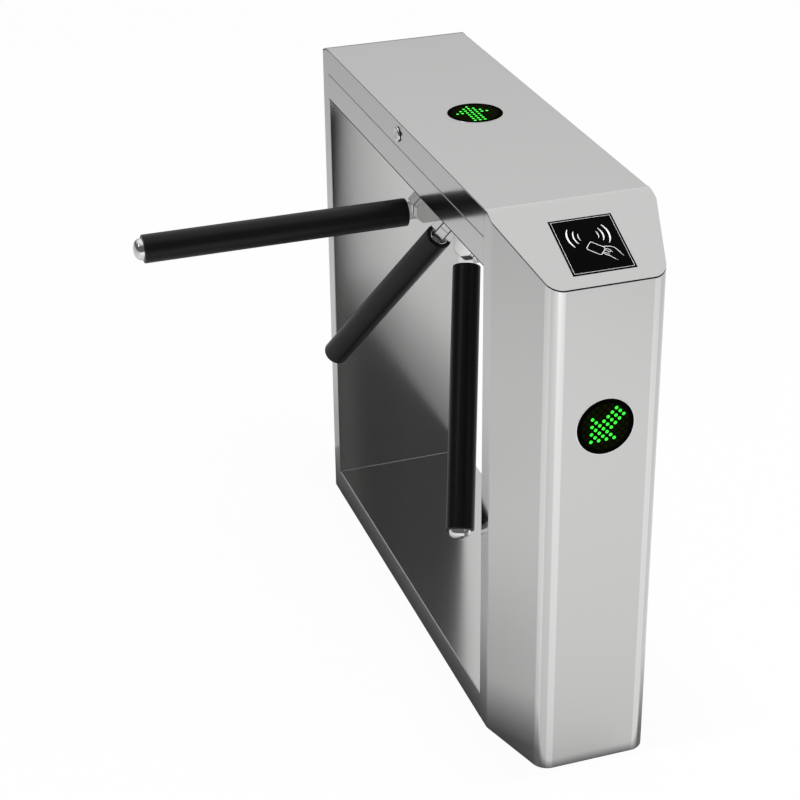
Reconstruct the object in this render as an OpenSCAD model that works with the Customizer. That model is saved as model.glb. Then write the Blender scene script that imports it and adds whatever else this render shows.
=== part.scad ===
// Tripod turnstile: a stainless bridge cabinet with a drop-arm rotor head.
// Origin on the floor under the middle of the cabinet, +X towards one end,
// -Y on the side where the arms stand out, +Z up. Millimetres.

/* [Cabinet] */
// Overall length of the cabinet
cabinet_l = 1200; // [1160:10:1300]
// Overall width of the cabinet
cabinet_w = 280; // [270:5:320]
// Overall height of the cabinet
cabinet_h = 980; // [950:5:1050]
// Thickness of the stainless sheet
sheet_t = 1.5; // [1.2:0.1:2]
// How far the flat top goes on past each end of the opening, up to its fold
fold_past = 15; // [13:1:25]
// Height lost by each sloped end of the top
slope_drop = 73; // [60:1:85]
// Radius of the fold between the flat top and a slope
fold_r = 42; // [30:1:48]
// How far the sides stay parallel past each end of the opening
straight_past = 35; // [30:1:45]
// Radius of the bend where the taper starts
bend_r = 18; // [10:1:24]
// Width of each end face, measured to its sharp corners
nose_w = 190; // [175:5:210]
// Radius of the two upright corners of each end face
corner_r = 28; // [18:1:34]
// Length of the opening under the bridge
opening_l = 840; // [820:5:850]
// Height of the floor of the opening
plinth_h = 50; // [40:1:70]
// Height of the bridge box over the opening
top_box_h = 98; // [94:1:104]
// Height of the lid's side skirts
lid_skirt_h = 48; // [46:1:52]
// Gap between the lid and what it closes on
seam_gap = 1; // [0.6:0.1:1.4]
// Width of the inward flange on each top rail
rail_flange_w = 10; // [6:1:12]

/* [Anchors] */
// Distance between anchor bolt holes along the cabinet
anchor_pitch_x = 1000; // [980:5:1020]
// Distance between anchor bolt holes across the cabinet
anchor_pitch_y = 180; // [160:5:190]
// Diameter of the anchor bolt holes
anchor_hole_d = 14; // [11:0.5:16]
// Thickness of the anchor plates
anchor_plate_t = 6; // [5:0.5:10]
// Bore of the cable gland
gland_bore_d = 18; // [14:1:20]
// Outside diameter of the cable gland's barrel
gland_d = 30; // [26:1:34]
// Length of the cable gland
gland_l = 34; // [28:1:44]
// Distance of the cable gland from the end face
gland_from_end = 50; // [45:5:70]

/* [Indicators and readers] */
// Diameter of the indicator lenses
lens_d = 98; // [90:1:104]
// How far a lens or window stands out of the sheet
lens_proud = 0.5; // [0.3:0.1:0.9]
// Width of the rim that a lens has behind the sheet
lens_rim_w = 5; // [3:0.5:7]
// Thickness of that rim
lens_rim_t = 2.5; // [1.5:0.5:4]
// Depth of the lamp cup behind a lens
cup_depth = 12; // [8:1:15]
// Wall of the lamp cup
cup_wall = 6; // [4:0.5:8]
// Height of the end indicators above the floor
indicator_z = 658; // [600:2:700]
// Place of the top indicator along the cabinet
top_indicator_x = 8; // [-10:1:14]
// Diameter of one lamp dot
dot_d = 6.2; // [5:0.1:7]
// Distance between dots along the arrow
dot_pitch_along = 9.8; // [9:0.1:10.4]
// Distance between dots across the arrow
dot_pitch_across = 9.1; // [8.6:0.1:9.6]
// Thickness of the printed symbols on a reader window
print_t = 0.2; // [0.1:0.05:0.4]
// How far a lamp dot stands out of its lens
dot_proud = 0.3; // [0.2:0.05:0.5]
// Steel left between the fold and a card reader window
window_top_gap = 39.5; // [36:0.5:50]
// Steel left between a card reader window and the end of its slope
window_end_gap = 23.9; // [22:0.1:30]
// Width of the card reader window
window_w = 107; // [90:1:112]
// Depth of the reader module under its window
module_depth = 20; // [12:1:26]

/* [Arms] */
// Distance from the cabinet's top down to the crossing point of the arms
arm_drop = 172; // [171:1:176]
// Distance from the back face to the crossing point of the arms
arm_from_back = 149; // [148:1:153]
// Distance from the crossing point to the outer end of a sleeve
arm_reach = 595; // [450:5:600]
// Distance from the crossing point to the inner end of a sleeve
sleeve_start = 119; // [119:0.5:124]
// Outside diameter of an arm sleeve
sleeve_d = 50; // [44:0.5:52]
// Outside diameter of the steel tube in an arm
tube_d = 38; // [34:0.5:38]
// Wall of the steel tube
tube_wall = 3; // [2:0.25:4]
// Thickness of the ring that closes a sleeve's inner end
sleeve_ring_t = 2; // [1:0.5:4]
// Diameter of the visible collar of an arm's spigot
collar_d = 26; // [20:0.5:30]
// Height of the domed end cap
cap_dome_h = 14; // [4:0.5:18]
// Height of the end cap's straight rim
cap_rim_h = 2; // [1:0.5:4]
// Depth of the end cap's plug in the tube
cap_plug_l = 20; // [10:1:40]
// Length of the spigot inside the tube
spigot_l = 44; // [30:1:80]

/* [Hub] */
// Radius of the ball in the middle of the hub
ball_r = 64.5; // [58:0.5:67]
// Width of each of the three hub bars
bar_w = 45; // [41:0.5:48]
// Depth of each hub bar
bar_t = 45; // [43:0.5:47]
// Shift of a hub bar from its arm's centre line
bar_shift = 6; // [5:0.5:7]
// Distance from the crossing point to a bar's end face
bar_front = 107; // [105:0.5:108]
// Size of the chamfers on a bar's end
bar_chamfer = 13; // [11:0.5:14]
// Distance from the crossing point to an arm's pivot
pivot_out = 98; // [96:0.5:99]
// Distance of an arm's pivot above its centre line
pivot_up = 2; // [0:0.5:3]
// Diameter of the pivot pins
pivot_d = 10; // [8:0.5:11]
// Width of the slot in each hub bar
slot_w = 21; // [19:0.5:23]
// Depth of the slot from a bar's end face
slot_depth = 45; // [32:0.5:46]
// Gap on each side of a knuckle in its slot
knuckle_side_gap = 0.8; // [0.4:0.1:1]
// Gap behind a knuckle in its slot
knuckle_end_gap = 0.8; // [0.5:0.1:1.2]

/* [Rotor mechanism] */
// Diameter of the rotor shaft in its bearings
shaft_d = 35; // [33:0.5:36]
// Diameter of the shaft where the wheels sit
wheel_seat_d = 30; // [26:0.5:32]
// Outside diameter of the two bearings
bearing_d = 62; // [60:0.5:66]
// Width of one bearing
bearing_w = 14; // [11:0.5:15]
// Radial thickness of each bearing ring
ring_t = 4.5; // [3:0.25:5]
// Wall of the bearing housing
housing_wall = 10; // [8:0.5:11]
// Length of the bearing housing
housing_l = 50; // [46:0.5:51]
// Thickness of the mechanism plate
plate_t = 10; // [8:0.5:11]
// Width of the mechanism plate
plate_w = 184; // [180:1:188]
// Thickness of the two gusset plates
gusset_t = 6; // [4:0.5:8]
// Teeth on the shaft gear
gear_teeth = 60; // [60]
// Teeth on the damper pinion
pinion_teeth = 16; // [16]
// Module of both gears
gear_module = 2; // [1.9:0.05:2]
// Width of the gears
gear_w = 8; // [5:0.5:9]
// Diameter of the index wheel
index_d = 112; // [104:1:114]
// Diameter of the lock disc
lock_disc_d = 96; // [88:1:98]
// Diameter of the index roller
roller_d = 20; // [16:0.5:22]
// Diameter of the pillars between the two plates
pillar_d = 12; // [10:0.5:14]
// Diameter of the damper body
damper_d = 40; // [30:1:44]

/* [Lock] */
// Diameter of the lock's visible flange
lock_flange_d = 26; // [22:1:30]
// Diameter of the lock barrel
lock_barrel_d = 19; // [16:0.5:20]
// Diameter of the turning plug
lock_plug_d = 12; // [9:0.5:13]
// How far the lock's flange stands out of the skirt
lock_proud = 4.5; // [2:0.5:6]
// Length of the lock cam from its axis
cam_l = 36; // [32:1:38]
// Width of the lock cam
cam_w = 12; // [10:0.5:14]

/* [Hidden] */
$fn = 48;
eps = 0.01;

// Fits: radial clearance of a running fit, and of a part fixed in its seat
run_fit = 0.06;
seat_fit = 0.02;
// Gap left around a lens or window in its cut-out
glass_fit = 0.3;
// Gap between flat pieces that move past each other
slide_gap = 0.5;

// Cabinet: half sizes and levels
half_l = cabinet_l / 2;
half_w = cabinet_w / 2;
half_open = opening_l / 2;
inner_w = half_w - sheet_t;
fold_x = half_open + fold_past;
taper_x = half_open + straight_past;
ceiling_z = cabinet_h - top_box_h;
seam_z = cabinet_h - lid_skirt_h;
slope_angle = atan(slope_drop / (half_l - fold_x));
taper_angle = atan((half_w - nose_w / 2) / (half_l - taper_x));
rim_drop = sheet_t + seam_gap;
front_z = cabinet_h - slope_drop;
slope_l = norm([half_l - fold_x, slope_drop]);
window_l = slope_l - window_top_gap - window_end_gap;
window_at = window_top_gap + window_l / 2;
gland_x = half_l - gland_from_end;

// Rotor head: tilt of the axis, which is also the angle from the axis to each arm
axis_tilt = 45;
hub_y = half_w - arm_from_back;
hub_z = cabinet_h - arm_drop;
arm_turns = [0, 120, 240];

// Hub bars, measured along an arm (out) and across it (down, for the top arm)
bar_low = bar_t / 2 - bar_shift;
bar_high = -bar_t / 2 - bar_shift;
knuckle_w = slot_w - 2 * knuckle_side_gap;
knuckle_r = bar_low + pivot_up - 0.2;
slot_end = bar_front - slot_depth;
// How far the collar stands out of the sleeve's inner end
collar_out = 1.5;

// Places along the rotor axis, counted from the crossing point into the cabinet
hub_back = 38;
cover_at = 42;
housing_at = 46;
front_bearing_at = 48;
plate_at = 50;
plate_back = plate_at + plate_t;
housing_end = housing_at + housing_l;
rear_bearing_at = housing_end - 2 - bearing_w;
gear_at = 98;
index_at = 112;
index_w = 10;
lock_disc_at = 126;
lock_disc_w = 8;
nut_at = 138;
nut_w = 8;
rear_plate_at = 140;
rear_plate_t = 5;
lever_t = 4;
lever_at = index_at - slide_gap - lever_t;

// Balls of the bearings, sunk in grooves of both rings
ball_count = 9;
ball_ring_r = (bearing_d / 2 + shaft_d / 2) / 2;
ball_d = (bearing_d - shaft_d) / 2 - ring_t;

// Outline of the mechanism plates, across the rotor axis (negative is up)
plate_top = -96;
plate_bottom = 84;
rear_plate_top = -60;
rear_plate_bottom = 50;
rear_wide = 112;
rear_narrow = 88;
rear_step = 10;
pillar_x = 80;
upper_pillar_y = -52;
lower_pillar_y = 42;
housing_flange_d = 104;
housing_flange_t = 6;
screw_ring_d = 93;
screw_d = 6;
screw_head_d = 10;
screw_head_h = 6;

// Damper pinion in mesh with the shaft gear
gear_pitch_r = gear_teeth * gear_module / 2;
pinion_pitch_r = pinion_teeth * gear_module / 2;
pinion_y = -(gear_pitch_r + pinion_pitch_r);

// Index roller, held just clear of the index wheel
roller_away = 1;
roller_reach = index_d / 2 + roller_d / 2 + roller_away;
roller_x = -20;
roller_y = -sqrt(roller_reach * roller_reach - roller_x * roller_x);
spring_x = -88;
spring_top = -20;
spring_end = 10;
spring_d = 10;
spring_hole_d = 7;

// Lock pawls, held just clear of the lock disc
pawl_clear = 0.6;
pawl_w = lock_disc_w - 2 * 0.3;
pawl_reach = norm([pillar_x, lower_pillar_y]) - lock_disc_d / 2 - pawl_clear;
pawl_angle = atan2(-lower_pillar_y, pillar_x);
solenoid_x = 92;
solenoid_w = 22;
solenoid_top = -36;
solenoid_end = 6;
plunger_d = 8;
plunger_end = 23.2;
plunger_l = 40;
tail_drop = 20;

// Sheet metal cover of the mechanism under the bridge box
cover_half = 105;
cover_drop = 107;
cover_depth = 143;
cover_bottom = ceiling_z - cover_drop;
cover_back = cover_depth + hub_y;
cover_flange = 12;
axis_sum = hub_y + hub_z + cover_at * 2 * sin(axis_tilt);

// Lock on the middle of the arm-side skirt
lock_z = cabinet_h - lid_skirt_h / 2;
lock_nut_d = 26;
lock_nut_t = 4;
cam_t = 2;
keeper_x = 40;
keeper_w = 14;
keeper_in = 29.5;
keeper_hook_w = 13;

// Lid hinges on the back
hinge_x = 300;
hinge_l = 80;
hinge_knuckle_r = 3.2;
hinge_pin_r = 1.5;
hinge_out = 3.5;
hinge_leaf_h = 24;
hinge_leaf_gap = sqrt(pow(hinge_knuckle_r + 0.3, 2) - pow(hinge_out - sheet_t, 2)) + 0.05;
hinge_mid = 25;

// Points on an arc, from one angle to another
function arc(cx, cy, r, from, to, n = 6) =
    [for (i = [0 : n]) let (a = from + (to - from) * i / n) [cx + r * cos(a), cy + r * sin(a)]];

function mirrored_y(points) =
    [for (i = [len(points) - 1 : -1 : 0]) [points[i][0], -points[i][1]]];

// One side of the plan of a cabinet end, drawn inside the sheet by inset
function end_side(inset) = concat(
    arc(taper_x - bend_r * tan(taper_angle / 2), half_w - bend_r,
        bend_r - inset, 90, 90 - taper_angle, 4),
    arc(half_l - corner_r, nose_w / 2 - corner_r * tan((90 - taper_angle) / 2),
        corner_r - inset, 90 - taper_angle, 0, 8));

// Whole plan of one cabinet end, from the plane x = from outwards
function end_plan(inset, from) = concat(
    [[from, half_w - inset]], end_side(inset),
    mirrored_y(end_side(inset)), [[from, -(half_w - inset)]]);

// Side view of the top over one end, drawn inside the sheet by inset
function top_line(inset, past) = concat(
    arc(fold_x - fold_r * tan(slope_angle / 2), cabinet_h - fold_r,
        fold_r - inset, 90, 90 - slope_angle, 5),
    [[half_l + past, cabinet_h - (half_l + past - fold_x) * tan(slope_angle)
        - inset / cos(slope_angle)]]);

function mirrored_x(points) =
    [for (i = [len(points) - 1 : -1 : 0]) [-points[i][0], points[i][1]]];

// Gear outline with straight-sided teeth; half widths in degrees
function gear_points(teeth, root_r, tip_r, root_half, tip_half, turn) =
    [for (i = [0 : teeth - 1], k = [0 : 3])
        let (a = turn + 360 * i / teeth + [-root_half, -tip_half, tip_half, root_half][k],
            r = (k == 0 || k == 3) ? root_r : tip_r)
        [r * cos(a), r * sin(a)]];

// Both ends of the cabinet
module both_ends() {
    children();
    mirror([1, 0, 0]) children();
}

// Frame of the sloped top: x down the slope, z out of the sheet
module on_slope() {
    translate([fold_x, 0, cabinet_h]) rotate([0, slope_angle, 0]) children();
}

// Frame of the end face: z out of the cabinet
module on_front() {
    translate([half_l, 0, indicator_z]) rotate([0, 90, 0]) children();
}

// Frame of the rotor: z along the axis into the cabinet, x along the cabinet
module on_rotor() {
    translate([0, hub_y, hub_z]) rotate([-axis_tilt, 0, 0]) children();
}

// Frame of one arm: x out along the arm, z on its underside
module on_arm(turn) {
    on_rotor() rotate([0, 0, turn]) rotate([axis_tilt, 0, 0]) rotate([180, 0, -90]) children();
}

module ring(outer_r, inner_r, h) {
    difference() {
        cylinder(h = h, r = outer_r);
        translate([0, 0, -1]) cylinder(h = h + 2, r = inner_r);
    }
}

module column_shell() {
    difference() {
        linear_extrude(cabinet_h) polygon(end_plan(0, half_open));
        translate([0, 0, -1]) linear_extrude(cabinet_h + 2) polygon(end_plan(sheet_t, half_open - 1));
        rotate([90, 0, 0]) linear_extrude(cabinet_w + 2, center = true)
            polygon(concat([[half_open - 1, cabinet_h - rim_drop]], top_line(rim_drop, 5),
                [[half_l + 5, cabinet_h + 5], [half_open - 1, cabinet_h + 5]]));
        on_front() translate([0, 0, -sheet_t - 1]) cylinder(h = sheet_t + 2, r = lens_d / 2 + glass_fit);
    }
}

module near_column_shell() {
    color("silver") column_shell();
}

module far_column_shell() {
    color("silver") mirror([1, 0, 0]) column_shell();
}

module inner_walls() {
    color("silver") both_ends()
        translate([half_open, -inner_w, 0]) cube([sheet_t, 2 * inner_w, ceiling_z]);
}

// Floor of the opening with its two sides folded down to the ground
module plinth_panel() {
    color("silver") translate([-half_open, -half_w, 0]) difference() {
        cube([opening_l, cabinet_w, plinth_h]);
        translate([-1, sheet_t, -1]) cube([opening_l + 2, 2 * inner_w, plinth_h + 1 - sheet_t]);
    }
}

// Side rail of the bridge box, with its inward flange on top
module top_rail(h) {
    translate([-half_open, inner_w, ceiling_z]) cube([opening_l, sheet_t, h]);
    translate([-half_open, inner_w - rail_flange_w, ceiling_z + h - sheet_t])
        cube([opening_l, rail_flange_w + sheet_t / 2, sheet_t]);
}

// Hooked tab that the lock cam turns under
module lock_keeper() {
    y0 = -inner_w + rail_flange_w / 2;
    y1 = -inner_w + keeper_in;
    base_z = seam_z - seam_gap / 2 - sheet_t;
    hook_z = lock_z + cam_w / 2 + 2.5;
    translate([keeper_x, y0, base_z]) cube([keeper_w, y1 - y0, sheet_t]);
    translate([keeper_x, y1 - sheet_t, base_z]) cube([keeper_w, sheet_t, hook_z + sheet_t - base_z]);
    translate([keeper_x - 14, y1 - keeper_hook_w, hook_z]) cube([keeper_w + 14, keeper_hook_w, sheet_t]);
}

module top_rails() {
    rail_h = seam_z - seam_gap / 2 - ceiling_z;
    color("silver") {
        top_rail(rail_h);
        union() {
            mirror([0, 1, 0]) top_rail(rail_h);
            lock_keeper();
        }
    }
}

module ceiling_panel() {
    front_y = axis_sum - ceiling_z;
    color("silver") difference() {
        union() {
            both_ends() translate([cover_half, -inner_w, ceiling_z])
                cube([half_open - cover_half, 2 * inner_w, sheet_t]);
            translate([-cover_half, -inner_w, ceiling_z]) cube([2 * cover_half, front_y + inner_w, sheet_t]);
            translate([-cover_half, cover_back, ceiling_z])
                cube([2 * cover_half, inner_w - cover_back, sheet_t]);
        }
        gusset_screws(screw_d / 2 + 0.2);
    }
}

// Folded cover around the mechanism, open into the bridge box
module mechanism_cover() {
    t = sheet_t;
    outer = [[axis_sum - ceiling_z, ceiling_z], [axis_sum - cover_bottom, cover_bottom],
        [cover_back, cover_bottom], [cover_back, ceiling_z]];
    lean = t / sin(axis_tilt);
    inner = [[axis_sum - ceiling_z + lean - 5, ceiling_z + 5], [axis_sum - cover_bottom - t + lean, cover_bottom + t],
        [cover_back - t, cover_bottom + t], [cover_back - t, ceiling_z + 5]];
    color("silver") difference() {
        union() {
            rotate([90, 0, 90]) linear_extrude(2 * cover_half, center = true) polygon(outer);
            for (side = [-1, 1])
                translate([side > 0 ? cover_half - 1 : -cover_half - cover_flange, 0, ceiling_z - t])
                    cube([cover_flange + 1, cover_back, t]);
        }
        rotate([90, 0, 90]) linear_extrude(2 * (cover_half - t), center = true) polygon(inner);
        on_rotor() translate([0, 0, cover_at - 5]) cylinder(h = 12, r = 28);
    }
}

module anchor_plates() {
    inset = sheet_t + seat_fit;
    from = half_open + sheet_t + seat_fit;
    color("dimgray") both_ends() difference() {
        linear_extrude(anchor_plate_t) polygon(end_plan(inset, from));
        for (side = [-1, 1]) translate([anchor_pitch_x / 2, side * anchor_pitch_y / 2, -1])
            cylinder(h = anchor_plate_t + 2, d = anchor_hole_d);
        translate([gland_x, 0, -1]) cylinder(h = anchor_plate_t + 2, r = gland_d / 2 + seat_fit);
    }
}

module cable_gland() {
    color("dimgray") translate([gland_x, 0, 0]) difference() {
        union() {
            cylinder(h = gland_l, d = gland_d);
            translate([0, 0, anchor_plate_t]) cylinder(h = 8, d = gland_d + 12, $fn = 6);
            translate([0, 0, gland_l - 12]) cylinder(h = 10, d = gland_d + 8, $fn = 6);
        }
        translate([0, 0, -1]) cylinder(h = gland_l + 2, d = gland_bore_d);
    }
}

// Round black lens: its disc fills the hole and its rim lies behind the sheet
module lens() {
    translate([0, 0, -sheet_t - eps]) cylinder(h = sheet_t + eps + lens_proud, d = lens_d, $fn = 96);
    translate([0, 0, -sheet_t - lens_rim_t]) cylinder(h = lens_rim_t, r = lens_d / 2 + lens_rim_w, $fn = 96);
}

// Dots in the shape of an arrow that points along -x
module arrow_dots() {
    rows = [1, 3, 5, 7, 3, 3, 3, 3];
    for (i = [0 : len(rows) - 1], k = [0 : rows[i] - 1])
        translate([(i - (len(rows) - 1) / 2) * dot_pitch_along, (k - (rows[i] - 1) / 2) * dot_pitch_across,
            lens_proud]) cylinder(h = dot_proud, d = dot_d, $fn = 16);
}

// Cup that holds the lamp board against the back of a lens
module lamp_cup() {
    rim_r = lens_d / 2 + lens_rim_w;
    back = -sheet_t - lens_rim_t;
    difference() {
        translate([0, 0, back - cup_depth - 2]) cylinder(h = cup_depth + 2, r = rim_r);
        translate([0, 0, back - cup_depth]) cylinder(h = cup_depth + 1, r = rim_r - cup_wall);
    }
}

module end_indicator_lenses() {
    color("black") both_ends() on_front() lens();
}

module end_indicator_dots() {
    color("lime") both_ends() on_front() rotate([0, 0, 135]) arrow_dots();
}

module end_indicator_cups() {
    color("dimgray") both_ends() on_front() lamp_cup();
}

module on_top() {
    translate([top_indicator_x, 0, cabinet_h]) children();
}

module top_indicator_lens() {
    color("black") on_top() lens();
}

module top_indicator_dots() {
    color("lime") on_top() arrow_dots();
}

module top_indicator_cup() {
    color("dimgray") on_top() lamp_cup();
}

// Sheet of the lid: flat top and two slopes, cut to the plan of the cabinet
module lid_sheet() {
    intersection() {
        rotate([90, 0, 0]) linear_extrude(cabinet_w + 2, center = true)
            polygon(concat(mirrored_x(top_line(0, 2)), top_line(0, 2),
                [for (i = [len(top_line(0, 2)) - 1 : -1 : 0]) top_line(sheet_t, 2)[i]],
                [for (i = [len(top_line(0, 2)) - 1 : -1 : 0]) mirrored_x(top_line(sheet_t, 2))[i]]));
        linear_extrude(cabinet_h + 5) union() {
            polygon(end_plan(0, -1));
            mirror([1, 0]) polygon(end_plan(0, -1));
        }
    }
}

module lid() {
    skirt_z = seam_z + seam_gap / 2;
    skirt_x = half_open - seam_gap / 2;
    color("silver") difference() {
        union() {
            lid_sheet();
            for (side = [-1, 1]) translate([-skirt_x, side > 0 ? inner_w : -half_w, skirt_z])
                cube([2 * skirt_x, sheet_t, cabinet_h - sheet_t / 2 - skirt_z]);
        }
        on_top() translate([0, 0, -5]) cylinder(h = 10, r = lens_d / 2 + glass_fit, $fn = 96);
        both_ends() on_slope() translate([window_at, 0, 0])
            cube([window_l + 2 * glass_fit, window_w + 2 * glass_fit, 10], center = true);
        translate([0, -half_w - 1, lock_z]) rotate([-90, 0, 0])
            cylinder(h = sheet_t + 2, r = lock_barrel_d / 2 + seat_fit);
    }
}

module reader_windows() {
    color("black") both_ends() on_slope()
        translate([window_at - window_l / 2, -window_w / 2, -sheet_t])
            cube([window_l, window_w, sheet_t + lens_proud]);
}

// Straight stroke of a printed line
module stroke(from, to, w) {
    translate(from) rotate(atan2(to[1] - from[1], to[0] - from[0]))
        translate([0, -w / 2]) square([norm(to - from), w]);
}

// Printed line symbols: border, waves on both sides, a card and a hand
module reader_symbols() {
    line = 1;
    border_in = 3.5;
    waves_at = [-18, 0];
    color("white") both_ends() on_slope() translate([window_at, 0, lens_proud])
        linear_extrude(print_t) {
            difference() {
                square([window_l - 2 * border_in, window_w - 2 * border_in], center = true);
                square([window_l - 2 * border_in - 2 * line, window_w - 2 * border_in - 2 * line],
                    center = true);
            }
            for (side = [-1, 1], wave = [[16.6, 26], [24.5, 33], [34.6, 34]]) translate(waves_at)
                polygon(concat(
                    arc(0, 0, wave[0] + 1, side * 90 - wave[1], side * 90 + wave[1], 12),
                    arc(0, 0, wave[0] - 1, side * 90 + wave[1], side * 90 - wave[1], 12)));
            translate([9.3, 2.6]) rotate(48) difference() {
                square([25.6, 18], center = true);
                square([25.6 - 2 * line, 18 - 2 * line], center = true);
            }
            stroke([9, 18], [14, 32], line);
            stroke([14, 32], [33, 40.5], line);
            stroke([23, 12], [39, 28.5], line);
        }
}

module reader_modules() {
    rim = 6;
    color("dimgray") both_ends() on_slope() translate([window_at, 0, -sheet_t]) {
        translate([-window_l / 2 - rim, -window_w / 2 - rim, -2])
            cube([window_l + 2 * rim, window_w + 2 * rim, 2]);
        translate([-window_l / 2 + rim, -window_w / 2 + rim, -module_depth])
            cube([window_l - 2 * rim, window_w - 2 * rim, module_depth]);
    }
}

// One hinge leaf against the back face, with knuckles around the hinge line
module hinge_leaf(up, spans) {
    for (s = spans) translate([s[0], 0, 0]) {
        translate([0, half_w + hinge_out, seam_z]) rotate([0, 90, 0])
            ring(hinge_knuckle_r, hinge_pin_r + run_fit, s[1]);
        translate([0, half_w, up ? seam_z + hinge_pin_r + 0.8 : seam_z - hinge_pin_r - 0.8 - 2])
            cube([s[1], hinge_out, 2]);
    }
    translate([spans[0][0], half_w, up ? seam_z + hinge_leaf_gap : seam_z - hinge_leaf_h])
        cube([spans[len(spans) - 1][0] + spans[len(spans) - 1][1] - spans[0][0], sheet_t,
            hinge_leaf_h - hinge_leaf_gap]);
}

module fixed_hinge_leaves() {
    side_l = (hinge_l - hinge_mid) / 2 - slide_gap;
    color("silver") for (at = [-hinge_x, hinge_x]) translate([at, 0, 0]) {
        hinge_leaf(false, [[-hinge_l / 2, side_l], [hinge_l / 2 - side_l, side_l]]);
        translate([-hinge_l / 2, half_w + hinge_out, seam_z]) rotate([0, 90, 0])
            cylinder(h = hinge_l, r = hinge_pin_r);
        for (end = [-hinge_l / 2, hinge_l / 2 - 1]) translate([end, half_w + hinge_out, seam_z])
            rotate([0, 90, 0]) cylinder(h = 1, r = hinge_knuckle_r - 0.4);
    }
}

module moving_hinge_leaves() {
    color("silver") for (at = [-hinge_x, hinge_x]) translate([at, 0, 0])
        hinge_leaf(true, [[-hinge_mid / 2, hinge_mid]]);
}

// Frame of the lock: z out of the skirt, towards whoever turns the key
module on_lock() {
    translate([0, -half_w, lock_z]) rotate([90, 0, 0]) children();
}

module lock_body() {
    inside = 22;
    color("gainsboro") on_lock() difference() {
        union() {
            cylinder(h = lock_proud - 1, d = lock_flange_d);
            translate([0, 0, lock_proud - 1])
                cylinder(h = 1, r1 = lock_flange_d / 2, r2 = lock_flange_d / 2 - 1.5);
            translate([0, 0, -inside]) cylinder(h = inside + 1, d = lock_barrel_d);
            translate([0, 0, -sheet_t - lock_nut_t]) cylinder(h = lock_nut_t, d = lock_nut_d, $fn = 6);
        }
        translate([0, 0, -inside - 1])
            cylinder(h = inside + lock_proud + 2, r = lock_plug_d / 2 + run_fit);
    }
}

module lock_plug() {
    inside = 22;
    color("silver") on_lock() difference() {
        union() {
            translate([0, 0, -inside - slide_gap]) cylinder(h = inside + slide_gap + lock_proud, d = lock_plug_d);
            translate([0, 0, -inside - slide_gap - cam_t - 3]) cylinder(h = cam_t + 4, d = lock_plug_d - 4);
        }
        translate([-0.8, -4, lock_proud - 2]) cube([1.6, 8, 3]);
    }
}

module lock_cam() {
    inside = 22;
    color("gray") on_lock() translate([0, 0, -inside - slide_gap - cam_t]) difference() {
        union() {
            cylinder(h = cam_t, d = cam_w + 4);
            translate([-cam_w / 2, -cam_l, 0]) cube([cam_w, cam_l, cam_t]);
        }
        translate([0, 0, -1]) cylinder(h = cam_t + 2, r = lock_plug_d / 2 - 2 + seat_fit);
    }
}

// Profile of a hub bar, out along the arm and down across it
function bar_profile(grow, from) = [
    [from, bar_high - grow], [bar_front - bar_chamfer, bar_high - grow],
    [bar_front + grow, bar_high + bar_chamfer], [bar_front + grow, bar_low - bar_chamfer],
    [bar_front - bar_chamfer, bar_low + grow], [from, bar_low + grow]];

module across_arm(w) {
    rotate([90, 0, 0]) linear_extrude(w, center = true) children();
}

module hub() {
    color("silver") difference() {
        union() {
            on_rotor() difference() {
                sphere(r = ball_r, $fn = 96);
                translate([0, 0, hub_back + 50]) cube([2 * ball_r, 2 * ball_r, 100], center = true);
            }
            on_rotor() translate([0, 0, hub_back - 5])
                cylinder(h = front_bearing_at - hub_back + 5, r = shaft_d / 2 + ring_t);
            for (turn = arm_turns) on_arm(turn) across_arm(bar_w) polygon(bar_profile(0, 0));
        }
        on_rotor() translate([0, 0, -8]) cylinder(h = 100, r = shaft_d / 2 + seat_fit);
        for (turn = arm_turns) on_arm(turn) {
            translate([slot_end, -slot_w / 2, -60]) cube([80, slot_w, 120]);
            translate([pivot_out, 0, -pivot_up]) rotate([90, 0, 0])
                cylinder(h = bar_w + 2, r = pivot_d / 2 + seat_fit, center = true);
        }
    }
}

module rotor_shaft() {
    color("gray") on_rotor() {
        translate([0, 0, -8]) cylinder(h = housing_end + 8, d = shaft_d);
        translate([0, 0, housing_end - 1]) cylinder(h = nut_at + nut_w + 2 - housing_end, d = wheel_seat_d);
    }
}

// Places of the two bearings, with z at the middle of their width
module at_bearings() {
    on_rotor() for (at = [front_bearing_at, rear_bearing_at]) translate([0, 0, at + bearing_w / 2])
        children();
}

// Bearing ring with the groove that the balls run in
module bearing_ring(outer_r, inner_r) {
    difference() {
        translate([0, 0, -bearing_w / 2]) ring(outer_r, inner_r, bearing_w);
        rotate_extrude() translate([ball_ring_r, 0]) circle(r = ball_d / 2 + run_fit);
    }
}

module bearing_outer_rings() {
    color("lightgray") at_bearings() bearing_ring(bearing_d / 2, bearing_d / 2 - ring_t);
}

module bearing_inner_rings() {
    color("lightgray") at_bearings() bearing_ring(shaft_d / 2 + seat_fit + ring_t, shaft_d / 2 + seat_fit);
}

module bearing_balls() {
    color("gainsboro") at_bearings() for (i = [0 : ball_count - 1])
        rotate([0, 0, i * 360 / ball_count]) translate([ball_ring_r, 0, 0]) sphere(d = ball_d);
}

// Screw holes or shanks of the housing flange
module flange_screws(r) {
    on_rotor() for (a = [45 : 90 : 315]) rotate([0, 0, a])
        translate([screw_ring_d / 2, 0, plate_at]) cylinder(h = plate_t + housing_flange_t, r = r);
}

// Screw holes or shanks of the gusset feet
module gusset_screws(r) {
    for (side = [-1, 1], y = [hub_y + 3, hub_y + 35])
        translate([side * (cover_half + 12), y, ceiling_z - sheet_t])
            cylinder(h = sheet_t + 3 * 3, r = r);
}

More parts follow.
